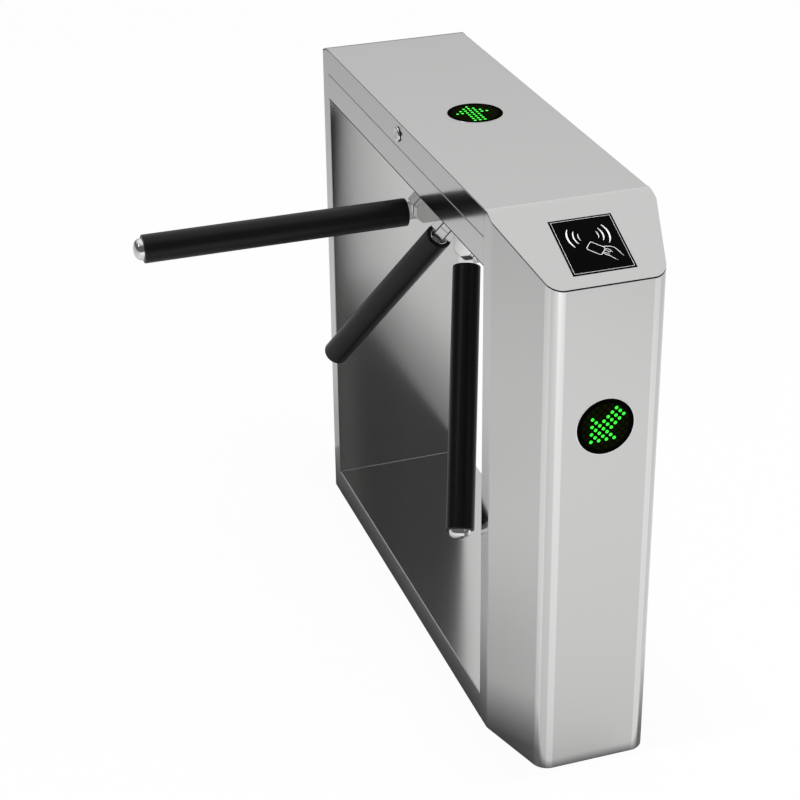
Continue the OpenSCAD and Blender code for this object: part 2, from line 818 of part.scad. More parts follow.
module bearing_housing() {
    color("slategray") difference() {
        on_rotor() union() {
            translate([0, 0, housing_at]) cylinder(h = housing_l, r = bearing_d / 2 + housing_wall);
            translate([0, 0, plate_back]) cylinder(h = housing_flange_t, d = housing_flange_d);
        }
        on_rotor() translate([0, 0, housing_at - 1])
            cylinder(h = housing_l + 2, r = bearing_d / 2 + seat_fit);
        flange_screws(screw_d / 2 + 0.2);
    }
}

module mechanism_plate() {
    color("slategray") difference() {
        on_rotor() translate([-plate_w / 2, plate_top, plate_at])
            cube([plate_w, plate_bottom - plate_top, plate_t]);
        on_rotor() translate([0, 0, plate_at - 1])
            cylinder(h = plate_t + 2, r = bearing_d / 2 + housing_wall + seat_fit);
        flange_screws(screw_d / 2 + 0.2);
    }
}

// Side plates that carry the mechanism plate, with feet on the ceiling panels
module mechanism_gussets() {
    foot_t = 5;
    color("slategray") difference() {
        union() for (side = [-1, 1]) {
            x0 = side > 0 ? plate_w / 2 : -plate_w / 2 - gusset_t;
            on_rotor() translate([x0, plate_top, plate_at])
                cube([gusset_t, plate_bottom - plate_top, 40]);
            translate([side > 0 ? plate_w / 2 : -cover_half - 24, hub_y - 5, ceiling_z + sheet_t])
                cube([cover_half + 24 - plate_w / 2, 48, foot_t]);
        }
        gusset_screws(screw_d / 2 + 0.2);
    }
}

module mechanism_bolts() {
    color("gainsboro") {
        flange_screws(screw_d / 2);
        on_rotor() for (a = [45 : 90 : 315]) rotate([0, 0, a])
            translate([screw_ring_d / 2, 0, plate_back + housing_flange_t])
                cylinder(h = screw_head_h, d = screw_head_d);
        for (side = [-1, 1], y = [hub_y + 3, hub_y + 35])
            translate([side * (cover_half + 12), y, ceiling_z]) {
                cylinder(h = sheet_t + 5, d = screw_d);
                translate([0, 0, sheet_t + 5]) cylinder(h = screw_head_h, d = screw_head_d, $fn = 6);
            }
    }
}

// Posts between the mechanism plate and the rear plate, and the spring's post
module pillars() {
    color("silver") on_rotor() {
        for (side = [-1, 1], y = [upper_pillar_y, lower_pillar_y])
            translate([side * pillar_x, y, plate_back])
                cylinder(h = rear_plate_at - plate_back, d = pillar_d);
        translate([spring_x, spring_end + 4, plate_back]) cylinder(h = lever_at + lever_t - plate_back, r = 3.5);
    }
}

module rear_plate() {
    color("slategray") on_rotor() difference() {
        union() {
            translate([-rear_narrow, rear_plate_top, rear_plate_at])
                cube([2 * rear_narrow, rear_plate_bottom - rear_plate_top, rear_plate_t]);
            translate([-rear_wide, rear_plate_top, rear_plate_at])
                cube([2 * rear_wide, rear_step - rear_plate_top, rear_plate_t]);
        }
        translate([0, 0, rear_plate_at - 1]) cylinder(h = rear_plate_t + 2, r = 30);
    }
}

module solenoids() {
    deep = 22;
    color("darkslategray") on_rotor() for (side = [-1, 1]) difference() {
        translate([side * solenoid_x - solenoid_w / 2, solenoid_top, rear_plate_at - deep])
            cube([solenoid_w, solenoid_end - solenoid_top, deep]);
        translate([side * solenoid_x, solenoid_end + 1, lock_disc_at + lock_disc_w / 2])
            rotate([90, 0, 0]) cylinder(h = 36, r = plunger_d / 2 + run_fit);
    }
}

module plunger(side) {
    on_rotor() translate([side * solenoid_x, plunger_end, lock_disc_at + lock_disc_w / 2])
        rotate([90, 0, 0]) cylinder(h = plunger_l, d = plunger_d);
}

module left_plunger() {
    color("gainsboro") plunger(-1);
}

module right_plunger() {
    color("gainsboro") plunger(1);
}

// Pawl cut from plate, drawn about its pillar: nose towards the shaft, tail towards the plunger
module pawl() {
    eye_r = pillar_d / 2 + 5;
    tail_x = pillar_x - solenoid_x - 6;
    nose = [[pawl_reach - 10, -6], [pawl_reach, -3.5], [pawl_reach, 3.5], [pawl_reach - 10, 6]];
    difference() {
        linear_extrude(pawl_w) polygon(concat(
            arc(0, 0, eye_r, pawl_angle + 40, 188, 10),
            [[tail_x, 8 - tail_drop], [tail_x, -tail_drop]],
            arc(0, 0, eye_r, 245, pawl_angle + 320, 3),
            [for (p = nose) [p[0] * cos(pawl_angle) - p[1] * sin(pawl_angle),
                p[0] * sin(pawl_angle) + p[1] * cos(pawl_angle)]]));
        translate([0, 0, -1]) cylinder(h = pawl_w + 2, r = pillar_d / 2 + run_fit);
    }
}

module left_pawl() {
    color("goldenrod") on_rotor() translate([-pillar_x, lower_pillar_y, lock_disc_at + 0.3]) pawl();
}

module right_pawl() {
    color("goldenrod") on_rotor() translate([pillar_x, lower_pillar_y, lock_disc_at + 0.3])
        mirror([1, 0, 0]) pawl();
}

// Wheel with three wide hollows that the index roller settles into
module index_wheel() {
    r = index_d / 2;
    color("gainsboro") on_rotor() translate([0, 0, index_at]) difference() {
        union() {
            cylinder(h = index_w, r = r);
            cylinder(h = lock_disc_at - index_at, r = wheel_seat_d / 2 + 7);
        }
        for (a = [30, 150, 270]) rotate([0, 0, a]) translate([r + 10, 0, -1])
            cylinder(h = index_w + 2, r = 26);
        translate([0, 0, -1]) cylinder(h = 40, r = wheel_seat_d / 2 + seat_fit);
    }
}

// Disc with six notches for the two pawls
module lock_disc() {
    r = lock_disc_d / 2;
    color("goldenrod") on_rotor() translate([0, 0, lock_disc_at]) difference() {
        union() {
            cylinder(h = lock_disc_w, r = r);
            cylinder(h = nut_at - lock_disc_at, r = wheel_seat_d / 2 + 7);
        }
        for (a = [0 : 60 : 300]) rotate([0, 0, a + pawl_angle]) translate([r - 7, -5, -1])
            cube([20, 10, lock_disc_w + 2]);
        translate([0, 0, -1]) cylinder(h = 40, r = wheel_seat_d / 2 + seat_fit);
    }
}

module shaft_gear() {
    color("silver") on_rotor() difference() {
        union() {
            translate([0, 0, gear_at]) linear_extrude(gear_w)
                polygon(gear_points(gear_teeth, gear_pitch_r - 1.25 * gear_module,
                    gear_pitch_r + 0.9 * gear_module, 1.9, 0.8, 0));
            translate([0, 0, housing_end + 1]) cylinder(h = index_at - housing_end - 1, r = wheel_seat_d / 2 + 7);
        }
        translate([0, 0, housing_end]) cylinder(h = 40, r = wheel_seat_d / 2 + seat_fit);
    }
}

module shaft_nut() {
    color("gainsboro") on_rotor() translate([0, 0, nut_at]) difference() {
        cylinder(h = nut_w, d = wheel_seat_d + 20, $fn = 6);
        translate([0, 0, -1]) cylinder(h = nut_w + 2, r = wheel_seat_d / 2 + seat_fit);
    }
}

module damper_body() {
    color("black") on_rotor() translate([0, pinion_y, plate_back]) {
        cylinder(h = gear_at - 2 - plate_back - 4, d = damper_d);
        cylinder(h = gear_at - 2 - plate_back, d = 16);
    }
}

module damper_pinion() {
    color("gold") on_rotor() translate([0, pinion_y, 0]) {
        translate([0, 0, gear_at]) linear_extrude(gear_w)
            polygon(gear_points(pinion_teeth, pinion_pitch_r - 1.25 * gear_module,
                pinion_pitch_r + 0.9 * gear_module, 7.4, 2.4, 180 / pinion_teeth));
        translate([0, 0, gear_at - 2 + slide_gap]) cylinder(h = 3, r = 7);
    }
}

module index_lever() {
    dx = roller_x + pillar_x;
    dy = roller_y - upper_pillar_y;
    color("slategray") on_rotor() translate([-pillar_x, upper_pillar_y, lever_at]) difference() {
        union() {
            cylinder(h = lever_t, r = pillar_d / 2 + 5);
            linear_extrude(lever_t) polygon([[0, -9], [dx, dy - 7], [dx, dy + 7], [0, 9]]);
            translate([dx, dy, 0]) cylinder(h = lever_t, r = 7);
            translate([dx, dy, 0]) cylinder(h = lever_t + index_w, r = 4);
            linear_extrude(lever_t) polygon([[-9, 0], [7, 0], [spring_x + pillar_x + 5, spring_top - upper_pillar_y - 2],
                [spring_x + pillar_x - 5, spring_top - upper_pillar_y - 2]]);
        }
        translate([0, 0, -1]) cylinder(h = lever_t + 2, r = pillar_d / 2 + run_fit);
    }
}

module index_roller() {
    color("gainsboro") on_rotor() translate([roller_x, roller_y, index_at + 0.3])
        ring(roller_d / 2, 4 + run_fit, index_w - 1);
}

module index_spring() {
    color("silver") on_rotor() translate([spring_x, spring_top - 1.8, lever_at + lever_t / 2])
        rotate([-90, 0, 0]) ring(spring_d / 2, spring_hole_d / 2, spring_end + 0.2 - spring_top + 1.8);
}

module control_board() {
    board_l = 180;
    board_w = 120;
    board_t = 1.6;
    board_x = 150;
    rise = 10;
    color("green") translate([board_x, -board_w / 2, ceiling_z + sheet_t]) {
        translate([0, 0, rise]) cube([board_l, board_w, board_t]);
        for (x = [8, board_l - 8], y = [8, board_w - 8]) translate([x, y, 0]) cylinder(h = rise + 1, r = 3.5);
        for (i = [0 : 4]) translate([12 + i * 32, 12, rise + 1]) cube([26, 12, 12]);
        translate([60, 50, rise + 1]) cube([34, 34, 4]);
        for (i = [0 : 2]) translate([115 + i * 18, 88, rise + 1]) cylinder(h = 20, r = 7);
        translate([20, 80, rise + 1]) cube([30, 22, 16]);
    }
}

module power_supply() {
    case_l = 160;
    case_w = 98;
    case_h = 40;
    case_x = 330;
    slot_step = 18;
    slot_l = 74;
    slot_deep = 3;
    color("gainsboro") translate([-case_x, -case_w / 2, ceiling_z + sheet_t]) difference() {
        cube([case_l, case_w, case_h]);
        for (i = [0 : 6]) translate([20 + i * slot_step, (case_w - slot_l) / 2, case_h - slot_deep])
            cube([slot_step / 3, slot_l, slot_deep + 1]);
    }
}

module arm_pins() {
    color("gainsboro") for (turn = arm_turns) on_arm(turn)
        translate([pivot_out, 0, -pivot_up]) rotate([90, 0, 0])
            cylinder(h = bar_w, d = pivot_d, center = true);
}

// Steel root of an arm: knuckle in the slot, neck, collar and spigot in the tube
module knuckle() {
    flush = -0.2;
    difference() {
        union() {
            across_arm(knuckle_w) {
                intersection() {
                    polygon(bar_profile(flush, slot_end + knuckle_end_gap));
                    translate([0, bar_high - 1])
                        square([bar_front + 5, -pivot_up - bar_high + 1]);
                }
                intersection() {
                    polygon(bar_profile(flush, pivot_out));
                    translate([0, -pivot_up - 1]) square([bar_front + 5, bar_t]);
                }
                translate([pivot_out, -pivot_up]) circle(r = knuckle_r);
            }
            translate([pivot_out, -knuckle_w / 2, bar_high + bar_chamfer])
                cube([sleeve_start - collar_out - pivot_out + 0.5, knuckle_w, bar_low - 4.5 - bar_high - bar_chamfer]);
            translate([sleeve_start - collar_out, 0, 0]) rotate([0, 90, 0])
                cylinder(h = collar_out + sleeve_ring_t + 0.5, d = collar_d);
            translate([sleeve_start + sleeve_ring_t, 0, 0]) rotate([0, 90, 0])
                cylinder(h = spigot_l, r = tube_d / 2 - tube_wall - seat_fit);
        }
        translate([pivot_out, 0, -pivot_up]) rotate([90, 0, 0])
            cylinder(h = bar_w, r = pivot_d / 2 + run_fit, center = true);
    }
}

module arm_tube() {
    start = sleeve_start + sleeve_ring_t + seat_fit;
    translate([start, 0, 0]) rotate([0, 90, 0])
        ring(tube_d / 2, tube_d / 2 - tube_wall, arm_reach - start);
}

module arm_sleeve() {
    translate([sleeve_start, 0, 0]) rotate([0, 90, 0]) {
        ring(sleeve_d / 2, collar_d / 2 + seat_fit, sleeve_ring_t);
        translate([0, 0, sleeve_ring_t - eps])
            ring(sleeve_d / 2, tube_d / 2 + seat_fit, arm_reach - sleeve_start - sleeve_ring_t + eps);
    }
}

module arm_cap() {
    r = tube_d / 2;
    dome_r = (r * r + cap_dome_h * cap_dome_h) / (2 * cap_dome_h);
    translate([arm_reach, 0, 0]) rotate([0, 90, 0]) {
        cylinder(h = cap_rim_h, r = r);
        translate([0, 0, -cap_plug_l]) cylinder(h = cap_plug_l + 1, r = r - tube_wall - seat_fit);
        intersection() {
            translate([0, 0, cap_rim_h - eps]) cylinder(h = cap_dome_h + 1, r = r);
            translate([0, 0, cap_rim_h + cap_dome_h - dome_r]) sphere(r = dome_r);
        }
    }
}

module top_arm_knuckle() {
    color("silver") on_arm(0) knuckle();
}

module top_arm_tube() {
    color("silver") on_arm(0) arm_tube();
}

module top_arm_sleeve() {
    color("black") on_arm(0) arm_sleeve();
}

module top_arm_cap() {
    color("gainsboro") on_arm(0) arm_cap();
}

module lower_arm_knuckles() {
    color("silver") for (turn = [120, 240]) on_arm(turn) knuckle();
}

module lower_arm_tubes() {
    color("silver") for (turn = [120, 240]) on_arm(turn) arm_tube();
}

module lower_arm_caps() {
    color("gainsboro") for (turn = [120, 240]) on_arm(turn) arm_cap();
}

module lower_arm_sleeves() {
    color("black") for (turn = [120, 240]) on_arm(turn) arm_sleeve();
}

near_column_shell();
far_column_shell();
inner_walls();
plinth_panel();
top_rails();
ceiling_panel();
mechanism_cover();
anchor_plates();
fixed_hinge_leaves();
end_indicator_lenses();
end_indicator_dots();
end_indicator_cups();
mechanism_plate();
mechanism_gussets();
bearing_housing();
bearing_outer_rings();
pillars();
rear_plate();
solenoids();
index_spring();
damper_body();
control_board();
power_supply();
cable_gland();
mechanism_bolts();
lid();
moving_hinge_leaves();
top_indicator_lens();
top_indicator_dots();
top_indicator_cup();
reader_windows();
reader_symbols();
reader_modules();
lock_body();
lock_plug();
lock_cam();
hub();
rotor_shaft();
bearing_inner_rings();
bearing_balls();
index_wheel();
lock_disc();
shaft_gear();
shaft_nut();
arm_pins();
lower_arm_knuckles();
lower_arm_tubes();
lower_arm_caps();
lower_arm_sleeves();
top_arm_knuckle();
top_arm_tube();
top_arm_sleeve();
top_arm_cap();
index_lever();
index_roller();
left_pawl();
right_pawl();
left_plunger();
right_plunger();
damper_pinion();
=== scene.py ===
import math
import bmesh
import bpy
from mathutils import Matrix, Vector


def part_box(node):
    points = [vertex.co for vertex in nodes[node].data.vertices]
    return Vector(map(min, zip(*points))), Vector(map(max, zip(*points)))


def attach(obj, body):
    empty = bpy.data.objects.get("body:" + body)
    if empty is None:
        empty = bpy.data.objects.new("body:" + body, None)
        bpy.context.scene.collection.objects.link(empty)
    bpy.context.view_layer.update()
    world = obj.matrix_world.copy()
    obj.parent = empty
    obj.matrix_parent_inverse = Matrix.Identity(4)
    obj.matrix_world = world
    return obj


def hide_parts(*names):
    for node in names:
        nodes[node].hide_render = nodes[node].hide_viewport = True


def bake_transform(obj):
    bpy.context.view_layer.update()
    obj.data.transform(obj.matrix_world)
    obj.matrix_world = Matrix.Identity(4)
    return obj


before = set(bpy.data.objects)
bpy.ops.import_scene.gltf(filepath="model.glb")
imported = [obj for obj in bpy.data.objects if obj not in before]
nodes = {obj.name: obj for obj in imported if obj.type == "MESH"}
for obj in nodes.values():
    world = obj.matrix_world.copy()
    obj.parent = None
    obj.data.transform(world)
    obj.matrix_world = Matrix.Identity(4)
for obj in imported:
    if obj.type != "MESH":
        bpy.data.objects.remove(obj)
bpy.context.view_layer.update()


# camera, at the photograph's viewing angle
camera = {"place": (3.159646, -1.190490, 2.196904), "turn": 0.320100, "down": 0.487545, "roll": -0.013169,
          "lens": 90.916}


def makeCamera():
    turn, down, roll = camera["turn"], camera["down"], camera["roll"]
    ahead = Vector((-math.cos(down) * math.cos(turn), math.cos(down) * math.sin(turn), -math.sin(down)))
    right = ahead.cross(Vector((0, 0, 1))).normalized()
    up = right.cross(ahead)
    rightRolled = right * math.cos(roll) + up * math.sin(roll)
    upRolled = up * math.cos(roll) - right * math.sin(roll)
    data = bpy.data.cameras.new("camera")
    data.lens = camera["lens"]
    data.sensor_width = 36
    data.clip_start = 0.05
    data.clip_end = 60
    obj = bpy.data.objects.new("camera", data)
    turnMatrix = Matrix((rightRolled, upRolled, -ahead)).transposed()
    obj.matrix_world = Matrix.Translation(camera["place"]) @ turnMatrix.to_4x4()
    bpy.context.scene.collection.objects.link(obj)
    bpy.context.scene.camera = obj


makeCamera()
print("camera done")


# materials
def newMaterial(name):
    material = bpy.data.materials.new(name)
    material.use_nodes = True
    tree = material.node_tree
    return material, tree, tree.nodes["Principled BSDF"]


def objectPattern(tree, scale):
    place = tree.nodes.new("ShaderNodeTexCoord")
    mapping = tree.nodes.new("ShaderNodeMapping")
    mapping.inputs["Scale"].default_value = scale
    tree.links.new(place.outputs["Object"], mapping.inputs["Vector"])
    return mapping.outputs["Vector"]


def spread(tree, value, low, high, fromLow=0.3, fromHigh=0.7):
    ramp = tree.nodes.new("ShaderNodeMapRange")
    ramp.inputs["From Min"].default_value = fromLow
    ramp.inputs["From Max"].default_value = fromHigh
    ramp.inputs["To Min"].default_value = low
    ramp.inputs["To Max"].default_value = high
    tree.links.new(value, ramp.inputs["Value"])
    return ramp.outputs["Result"]


def addMaths(tree, operation, first, second=None):
    node = tree.nodes.new("ShaderNodeMath")
    node.operation = operation
    for socket, value in zip(node.inputs, (first, second)):
        if value is None:
            continue
        if isinstance(value, float):
            socket.default_value = value
        else:
            tree.links.new(value, socket)
    return node.outputs["Value"]


def mixColours(tree, factor, first, second):
    mix = tree.nodes.new("ShaderNodeMix")
    mix.data_type = "RGBA"
    for name, colour in (("A", first), ("B", second)):
        if isinstance(colour, tuple):
            mix.inputs[name].default_value = (*colour, 1)
        else:
            tree.links.new(colour, mix.inputs[name])
    tree.links.new(factor, mix.inputs["Factor"])
    return mix.outputs["Result"]


def addBump(tree, shader, height, strength, distance):
    bump = tree.nodes.new("ShaderNodeBump")
    bump.inputs["Strength"].default_value = strength
    bump.inputs["Distance"].default_value = distance
    tree.links.new(height, bump.inputs["Height"])
    tree.links.new(bump.outputs["Normal"], shader.inputs["Normal"])


def noise(tree, vector, scale, detail=3.0):
    texture = tree.nodes.new("ShaderNodeTexNoise")
    texture.inputs["Scale"].default_value = scale
    texture.inputs["Detail"].default_value = detail
    tree.links.new(vector, texture.inputs["Vector"])
    return texture.outputs["Fac"]


def makeMetal(name, dark, light, roughness, grain, metallic=1.0, bump=0.02):
    material, tree, shader = newMaterial(name)
    fine = noise(tree, objectPattern(tree, grain), 1.0, 4.0)
    broad = noise(tree, objectPattern(tree, (3, 3, 3)), 1.0, 2.0)
    tree.links.new(mixColours(tree, fine, dark, light), shader.inputs["Base Color"])
    uneven = addMaths(tree, "ADD", spread(tree, fine, *roughness), spread(tree, broad, -0.01, 0.01))
    tree.links.new(uneven, shader.inputs["Roughness"])
    addBump(tree, shader, fine, bump, 0.0002)
    shader.inputs["Metallic"].default_value = metallic
    return material


def makePlastic(name, colour, roughness, specular=0.5, grainScale=900.0, bump=0.05, coat=0.0):
    material, tree, shader = newMaterial(name)
    fine = noise(tree, objectPattern(tree, (1, 1, 1)), grainScale, 2.0)
    darker = tuple(c * 0.85 for c in colour)
    lighter = tuple(min(1.0, c * 1.15) for c in colour)
    tree.links.new(mixColours(tree, fine, darker, lighter), shader.inputs["Base Color"])
    tree.links.new(spread(tree, fine, roughness - 0.03, roughness + 0.03), shader.inputs["Roughness"])
    addBump(tree, shader, fine, bump, 0.0002)
    shader.inputs["Specular IOR Level"].default_value = specular
    shader.inputs["Coat Weight"].default_value = coat
    return material


sheetLook = {"dark": (0.575, 0.575, 0.57), "light": (0.60, 0.60, 0.595), "roughness": (0.105, 0.13), "bump": 0.004}
insideLook = {"dark": (0.53, 0.53, 0.525), "light": (0.55, 0.55, 0.545), "roughness": (0.135, 0.15), "bump": 0.0006}
steelAlong = makeMetal("satinSheetAlong", grain=(6, 900, 900), **sheetLook)
steelUpright = makeMetal("satinSheetUpright", grain=(900, 900, 6), **sheetLook)
# lighter steel for painted highlights along bends
bendHighlightPaint = makeMetal("satinBendPaintedHighlight", (0.70, 0.70, 0.695), (0.73, 0.73, 0.725), (0.09, 0.11), (900, 900, 6),
                       bump=0.004)
steelInside = makeMetal("satinSheetInside", grain=(6, 900, 900), **insideLook)
hubMetal = makeMetal("hubSatin", (0.62, 0.62, 0.615), (0.65, 0.65, 0.645), (0.16, 0.20), (90, 90, 90), bump=0.004)
polished = makeMetal("polishedSteel", (0.74, 0.74, 0.74), (0.78, 0.78, 0.78), (0.03, 0.06), (60, 60, 60),
                     bump=0.0005)
tubeSteel = makeMetal("tubeSteel", (0.5, 0.5, 0.5), (0.58, 0.58, 0.58), (0.25, 0.35), (400, 400, 400))
machineSteel = makeMetal("machineSteel", (0.42, 0.42, 0.42), (0.52, 0.52, 0.52), (0.28, 0.4), (300, 300, 300))
springSteel = makeMetal("springSteel", (0.35, 0.35, 0.36), (0.45, 0.45, 0.46), (0.3, 0.4), (300, 300, 300))
yellowSteel = makeMetal("yellowSteel", (0.58, 0.46, 0.2), (0.66, 0.54, 0.27), (0.3, 0.42), (200, 200, 200))
plateGrey = makeMetal("plateGrey", (0.27, 0.28, 0.29), (0.33, 0.34, 0.35), (0.45, 0.55), (500, 500, 500), 0.6)
supplyCase = makeMetal("supplyCase", (0.6, 0.61, 0.62), (0.68, 0.69, 0.70), (0.35, 0.45), (6, 700, 700))
sleeveBlack = makePlastic("sleeveBlack", (0.0048, 0.0048, 0.0048), 0.34, 0.20, 1400.0, 0.05)
# black strips: painted shade in the lid gap, along the rails' lower edges and beside the knuckles; also the black
# ring under the lock's flange
blackStrips = makePlastic("blackStrips", (0.004, 0.004, 0.004), 0.7, 0.1, 1500.0, 0.1)
darkPlastic = makePlastic("darkPlastic", (0.03, 0.03, 0.032), 0.5, 0.4, 1200.0, 0.15)
coilDark = makePlastic("coilDark", (0.02, 0.025, 0.04), 0.4, 0.5, 300.0, 0.1)
windowBlack = makePlastic("windowBlack", (0.0008, 0.0008, 0.0008), 0.10, 0.02, 200.0, 0.002)
printWhite = makePlastic("printWhite", (0.80, 0.80, 0.80), 0.45, 0.3, 900.0, 0.03)


# painted shade: the opening's inner walls darken towards the arm side
wallShade = {"edge": -0.14, "clear": 0.02, "least": 0.36}


def makeShadePaintedWalls():
    material = makeMetal("satinSheetWallsShadePainted", grain=(6, 900, 900), **insideLook)
    tree = material.node_tree
    base = tree.nodes["Principled BSDF"].inputs["Base Color"]
    plain = base.links[0].from_socket
    split = tree.nodes.new("ShaderNodeSeparateXYZ")
    tree.links.new(objectPattern(tree, (1, 1, 1)), split.inputs["Vector"])
    inwards = spread(tree, split.outputs["Y"], 0.0, 1.0, wallShade["edge"], wallShade["clear"])
    level = spread(tree, addMaths(tree, "POWER", inwards, 0.5), wallShade["least"], 1.0, 0.0, 1.0)
    tree.links.new(mixColours(tree, level, (0, 0, 0), plain), base)
    return material


shadePaintedWalls = makeShadePaintedWalls()


def makeBoard():
    material, tree, shader = newMaterial("boardGreen")
    tracks = noise(tree, objectPattern(tree, (300, 60, 60)), 1.0, 1.0)
    tree.links.new(mixColours(tree, spread(tree, tracks, 0, 1, 0.49, 0.51), (0.01, 0.10, 0.04), (0.02, 0.17, 0.07)),
                   shader.inputs["Base Color"])
    tree.links.new(spread(tree, tracks, 0.3, 0.45), shader.inputs["Roughness"])
    addBump(tree, shader, tracks, 0.1, 0.0002)
    return material


boardGreen = makeBoard()
print("materials done")


# shared making steps
def objectFrom(bm, name):
    mesh = bpy.data.meshes.new(name)
    bm.to_mesh(mesh)
    bm.free()
    obj = bpy.data.objects.new(name, mesh)
    bpy.context.scene.collection.objects.link(obj)
    return obj


def bakeModifiers(obj):
    bpy.context.view_layer.update()
    ready = obj.evaluated_get(bpy.context.evaluated_depsgraph_get())
    mesh = bpy.data.meshes.new_from_object(ready)
    old = obj.data
    obj.modifiers.clear()
    obj.data = mesh
    bpy.data.meshes.remove(old)


def cutAway(obj, cutters):
    for cutter in cutters:
        modifier = obj.modifiers.new("cut", "BOOLEAN")
        modifier.operation = "DIFFERENCE"
        modifier.solver = "EXACT"
        modifier.object = cutter
    bakeModifiers(obj)
    for cutter in cutters:
        mesh = cutter.data
        bpy.data.objects.remove(cutter)
        bpy.data.meshes.remove(mesh)


def addSheet(obj, thickness):
    modifier = obj.modifiers.new("sheet", "SOLIDIFY")
    modifier.thickness = thickness
    modifier.offset = -1
    modifier.use_even_offset = True
    bakeModifiers(obj)


def roundEdges(obj, width, segments=3, angle=35):
    modifier = obj.modifiers.new("edges", "BEVEL")
    modifier.width = width
    modifier.segments = segments
    modifier.limit_method = "ANGLE"
    modifier.angle_limit = math.radians(angle)
    modifier.use_clamp_overlap = True
    bakeModifiers(obj)


def finish(obj, material, body, replaced=(), sharp=30, highlightPaint=None, onHighlightPaint=None):
    mesh = obj.data
    mesh.materials.clear()
    mesh.materials.append(material)
    # faces picked for a painted highlight get the second material
    if highlightPaint:
        mesh.materials.append(highlightPaint)
    for polygon in mesh.polygons:
        polygon.material_index = 1 if highlightPaint and onHighlightPaint(polygon) else 0
        polygon.use_smooth = True
    mesh.set_sharp_from_angle(angle=math.radians(sharp))
    modifier = obj.modifiers.new("evenShading", "WEIGHTED_NORMAL")
    modifier.weight = 100
    modifier.keep_sharp = True
    bakeModifiers(obj)
    if body:
        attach(obj, body)
    if replaced:
        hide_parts(*replaced)
    return obj


def cleaned(bm):
    bmesh.ops.remove_doubles(bm, verts=bm.verts, dist=1e-6)
    bmesh.ops.recalc_face_normals(bm, faces=bm.faces)
    return bm


def faceAwayFrom(bm, centre):
    cleaned(bm)
    lean = sum((f.calc_center_median() - Vector(centre)).normalized().dot(f.normal) * f.calc_area()
               for f in bm.faces)
    if lean < 0:
        bmesh.ops.reverse_faces(bm, faces=bm.faces)


def boxPiece(name, low, high, place=None):
    bm = bmesh.new()
    bmesh.ops.create_cube(bm, size=1)
    size = Vector(high) - Vector(low)
    middle = (Vector(high) + Vector(low)) / 2
    bmesh.ops.scale(bm, vec=size, verts=bm.verts)
    bmesh.ops.translate(bm, vec=middle, verts=bm.verts)
    if place is not None:
        bmesh.ops.transform(bm, matrix=place, verts=bm.verts)
    return objectFrom(cleaned(bm), name)


def rodPiece(name, radius, start, end, place=None, segments=64):
    bm = bmesh.new()
    bmesh.ops.create_cone(bm, cap_ends=True, segments=segments, radius1=radius, radius2=radius, depth=end - start)
    bmesh.ops.translate(bm, vec=(0, 0, (start + end) / 2), verts=bm.verts)
    if place is not None:
        bmesh.ops.transform(bm, matrix=place, verts=bm.verts)
    return objectFrom(cleaned(bm), name)


def turnedPiece(name, outline, place, closed=False, steps=72):
    bm = bmesh.new()
    row = [bm.verts.new((radius, 0, along)) for along, radius in outline]
    pairs = list(zip(row, row[1:])) + ([(row[-1], row[0])] if closed else [])
    edges = [bm.edges.new(pair) for pair in pairs]
    bmesh.ops.spin(bm, geom=row + edges, cent=(0, 0, 0), axis=(0, 0, 1), angle=math.tau, steps=steps,
                   use_merge=True)
    bmesh.ops.transform(bm, matrix=place, verts=bm.verts)
    return objectFrom(cleaned(bm), name)


def platePiece(name, outline, low, high, place, rounded=()):
    bm = bmesh.new()
    corners = [bm.verts.new((a, b, low)) for a, b in outline]
    bm.faces.new(corners)
    for index, radius in rounded:
        bmesh.ops.bevel(bm, geom=[corners[index]], offset=radius, segments=8, profile=0.5, affect="VERTICES",
                        material=-1)
    made = bmesh.ops.extrude_face_region(bm, geom=bm.faces[:])["geom"]
    bmesh.ops.translate(bm, vec=(0, 0, high - low), verts=[g for g in made if isinstance(g, bmesh.types.BMVert)])
    bmesh.ops.transform(bm, matrix=place, verts=bm.verts)
    return objectFrom(cleaned(bm), name)


def foldedStrip(name, profile, start, end, bend, thickness, centre):
    bm = bmesh.new()
    row = [bm.verts.new((start, y, z)) for y, z in profile]
    edges = [bm.edges.new(pair) for pair in zip(row, row[1:])]
    made = bmesh.ops.extrude_edge_only(bm, edges=edges)["geom"]
    bmesh.ops.translate(bm, vec=(end - start, 0, 0), verts=[g for g in made if isinstance(g, bmesh.types.BMVert)])
    folds = [e for e in bm.edges if len(e.link_faces) == 2]
    if folds:
        bmesh.ops.bevel(bm, geom=folds, offset=bend, segments=5, profile=0.5, affect="EDGES", material=-1)
    faceAwayFrom(bm, centre)
    obj = objectFrom(bm, name)
    addSheet(obj, thickness)
    return obj


# cabinet sheets
cabinet = {"halfLength": 0.6, "halfWidth": 0.14, "height": 0.98, "sheet": 0.0015, "foldX": 0.435,
           "foldRadius": 0.042, "slopeDrop": 0.073, "taperX": 0.455, "noseHalf": 0.095, "bendRadius": 0.018,
           "cornerRadius": 0.028, "openX": 0.42, "plinth": 0.05, "ceiling": 0.882, "seam": 0.932, "gap": 0.001,
           "shellGap": 0.0016, "railFlange": 0.01, "indicatorZ": 0.658, "topIndicatorX": 0.008,
           "lockZ": 0.956, "lampHole": 0.0493, "lockHole": 0.00952, "skirtBend": 0.0022, "railBend": 0.0018,
           "plinthBend": 0.002, "highlightPaintTurns": ((2, 25), (49, 71))}
slopeAngle = math.atan(cabinet["slopeDrop"] / (cabinet["halfLength"] - cabinet["foldX"]))
taperAngle = math.atan((cabinet["halfWidth"] - cabinet["noseHalf"]) / (cabinet["halfLength"] - cabinet["taperX"]))
foldReach = cabinet["foldRadius"] * math.tan(slopeAngle / 2)
noseTurn = math.tan((math.pi / 2 - taperAngle) / 2)


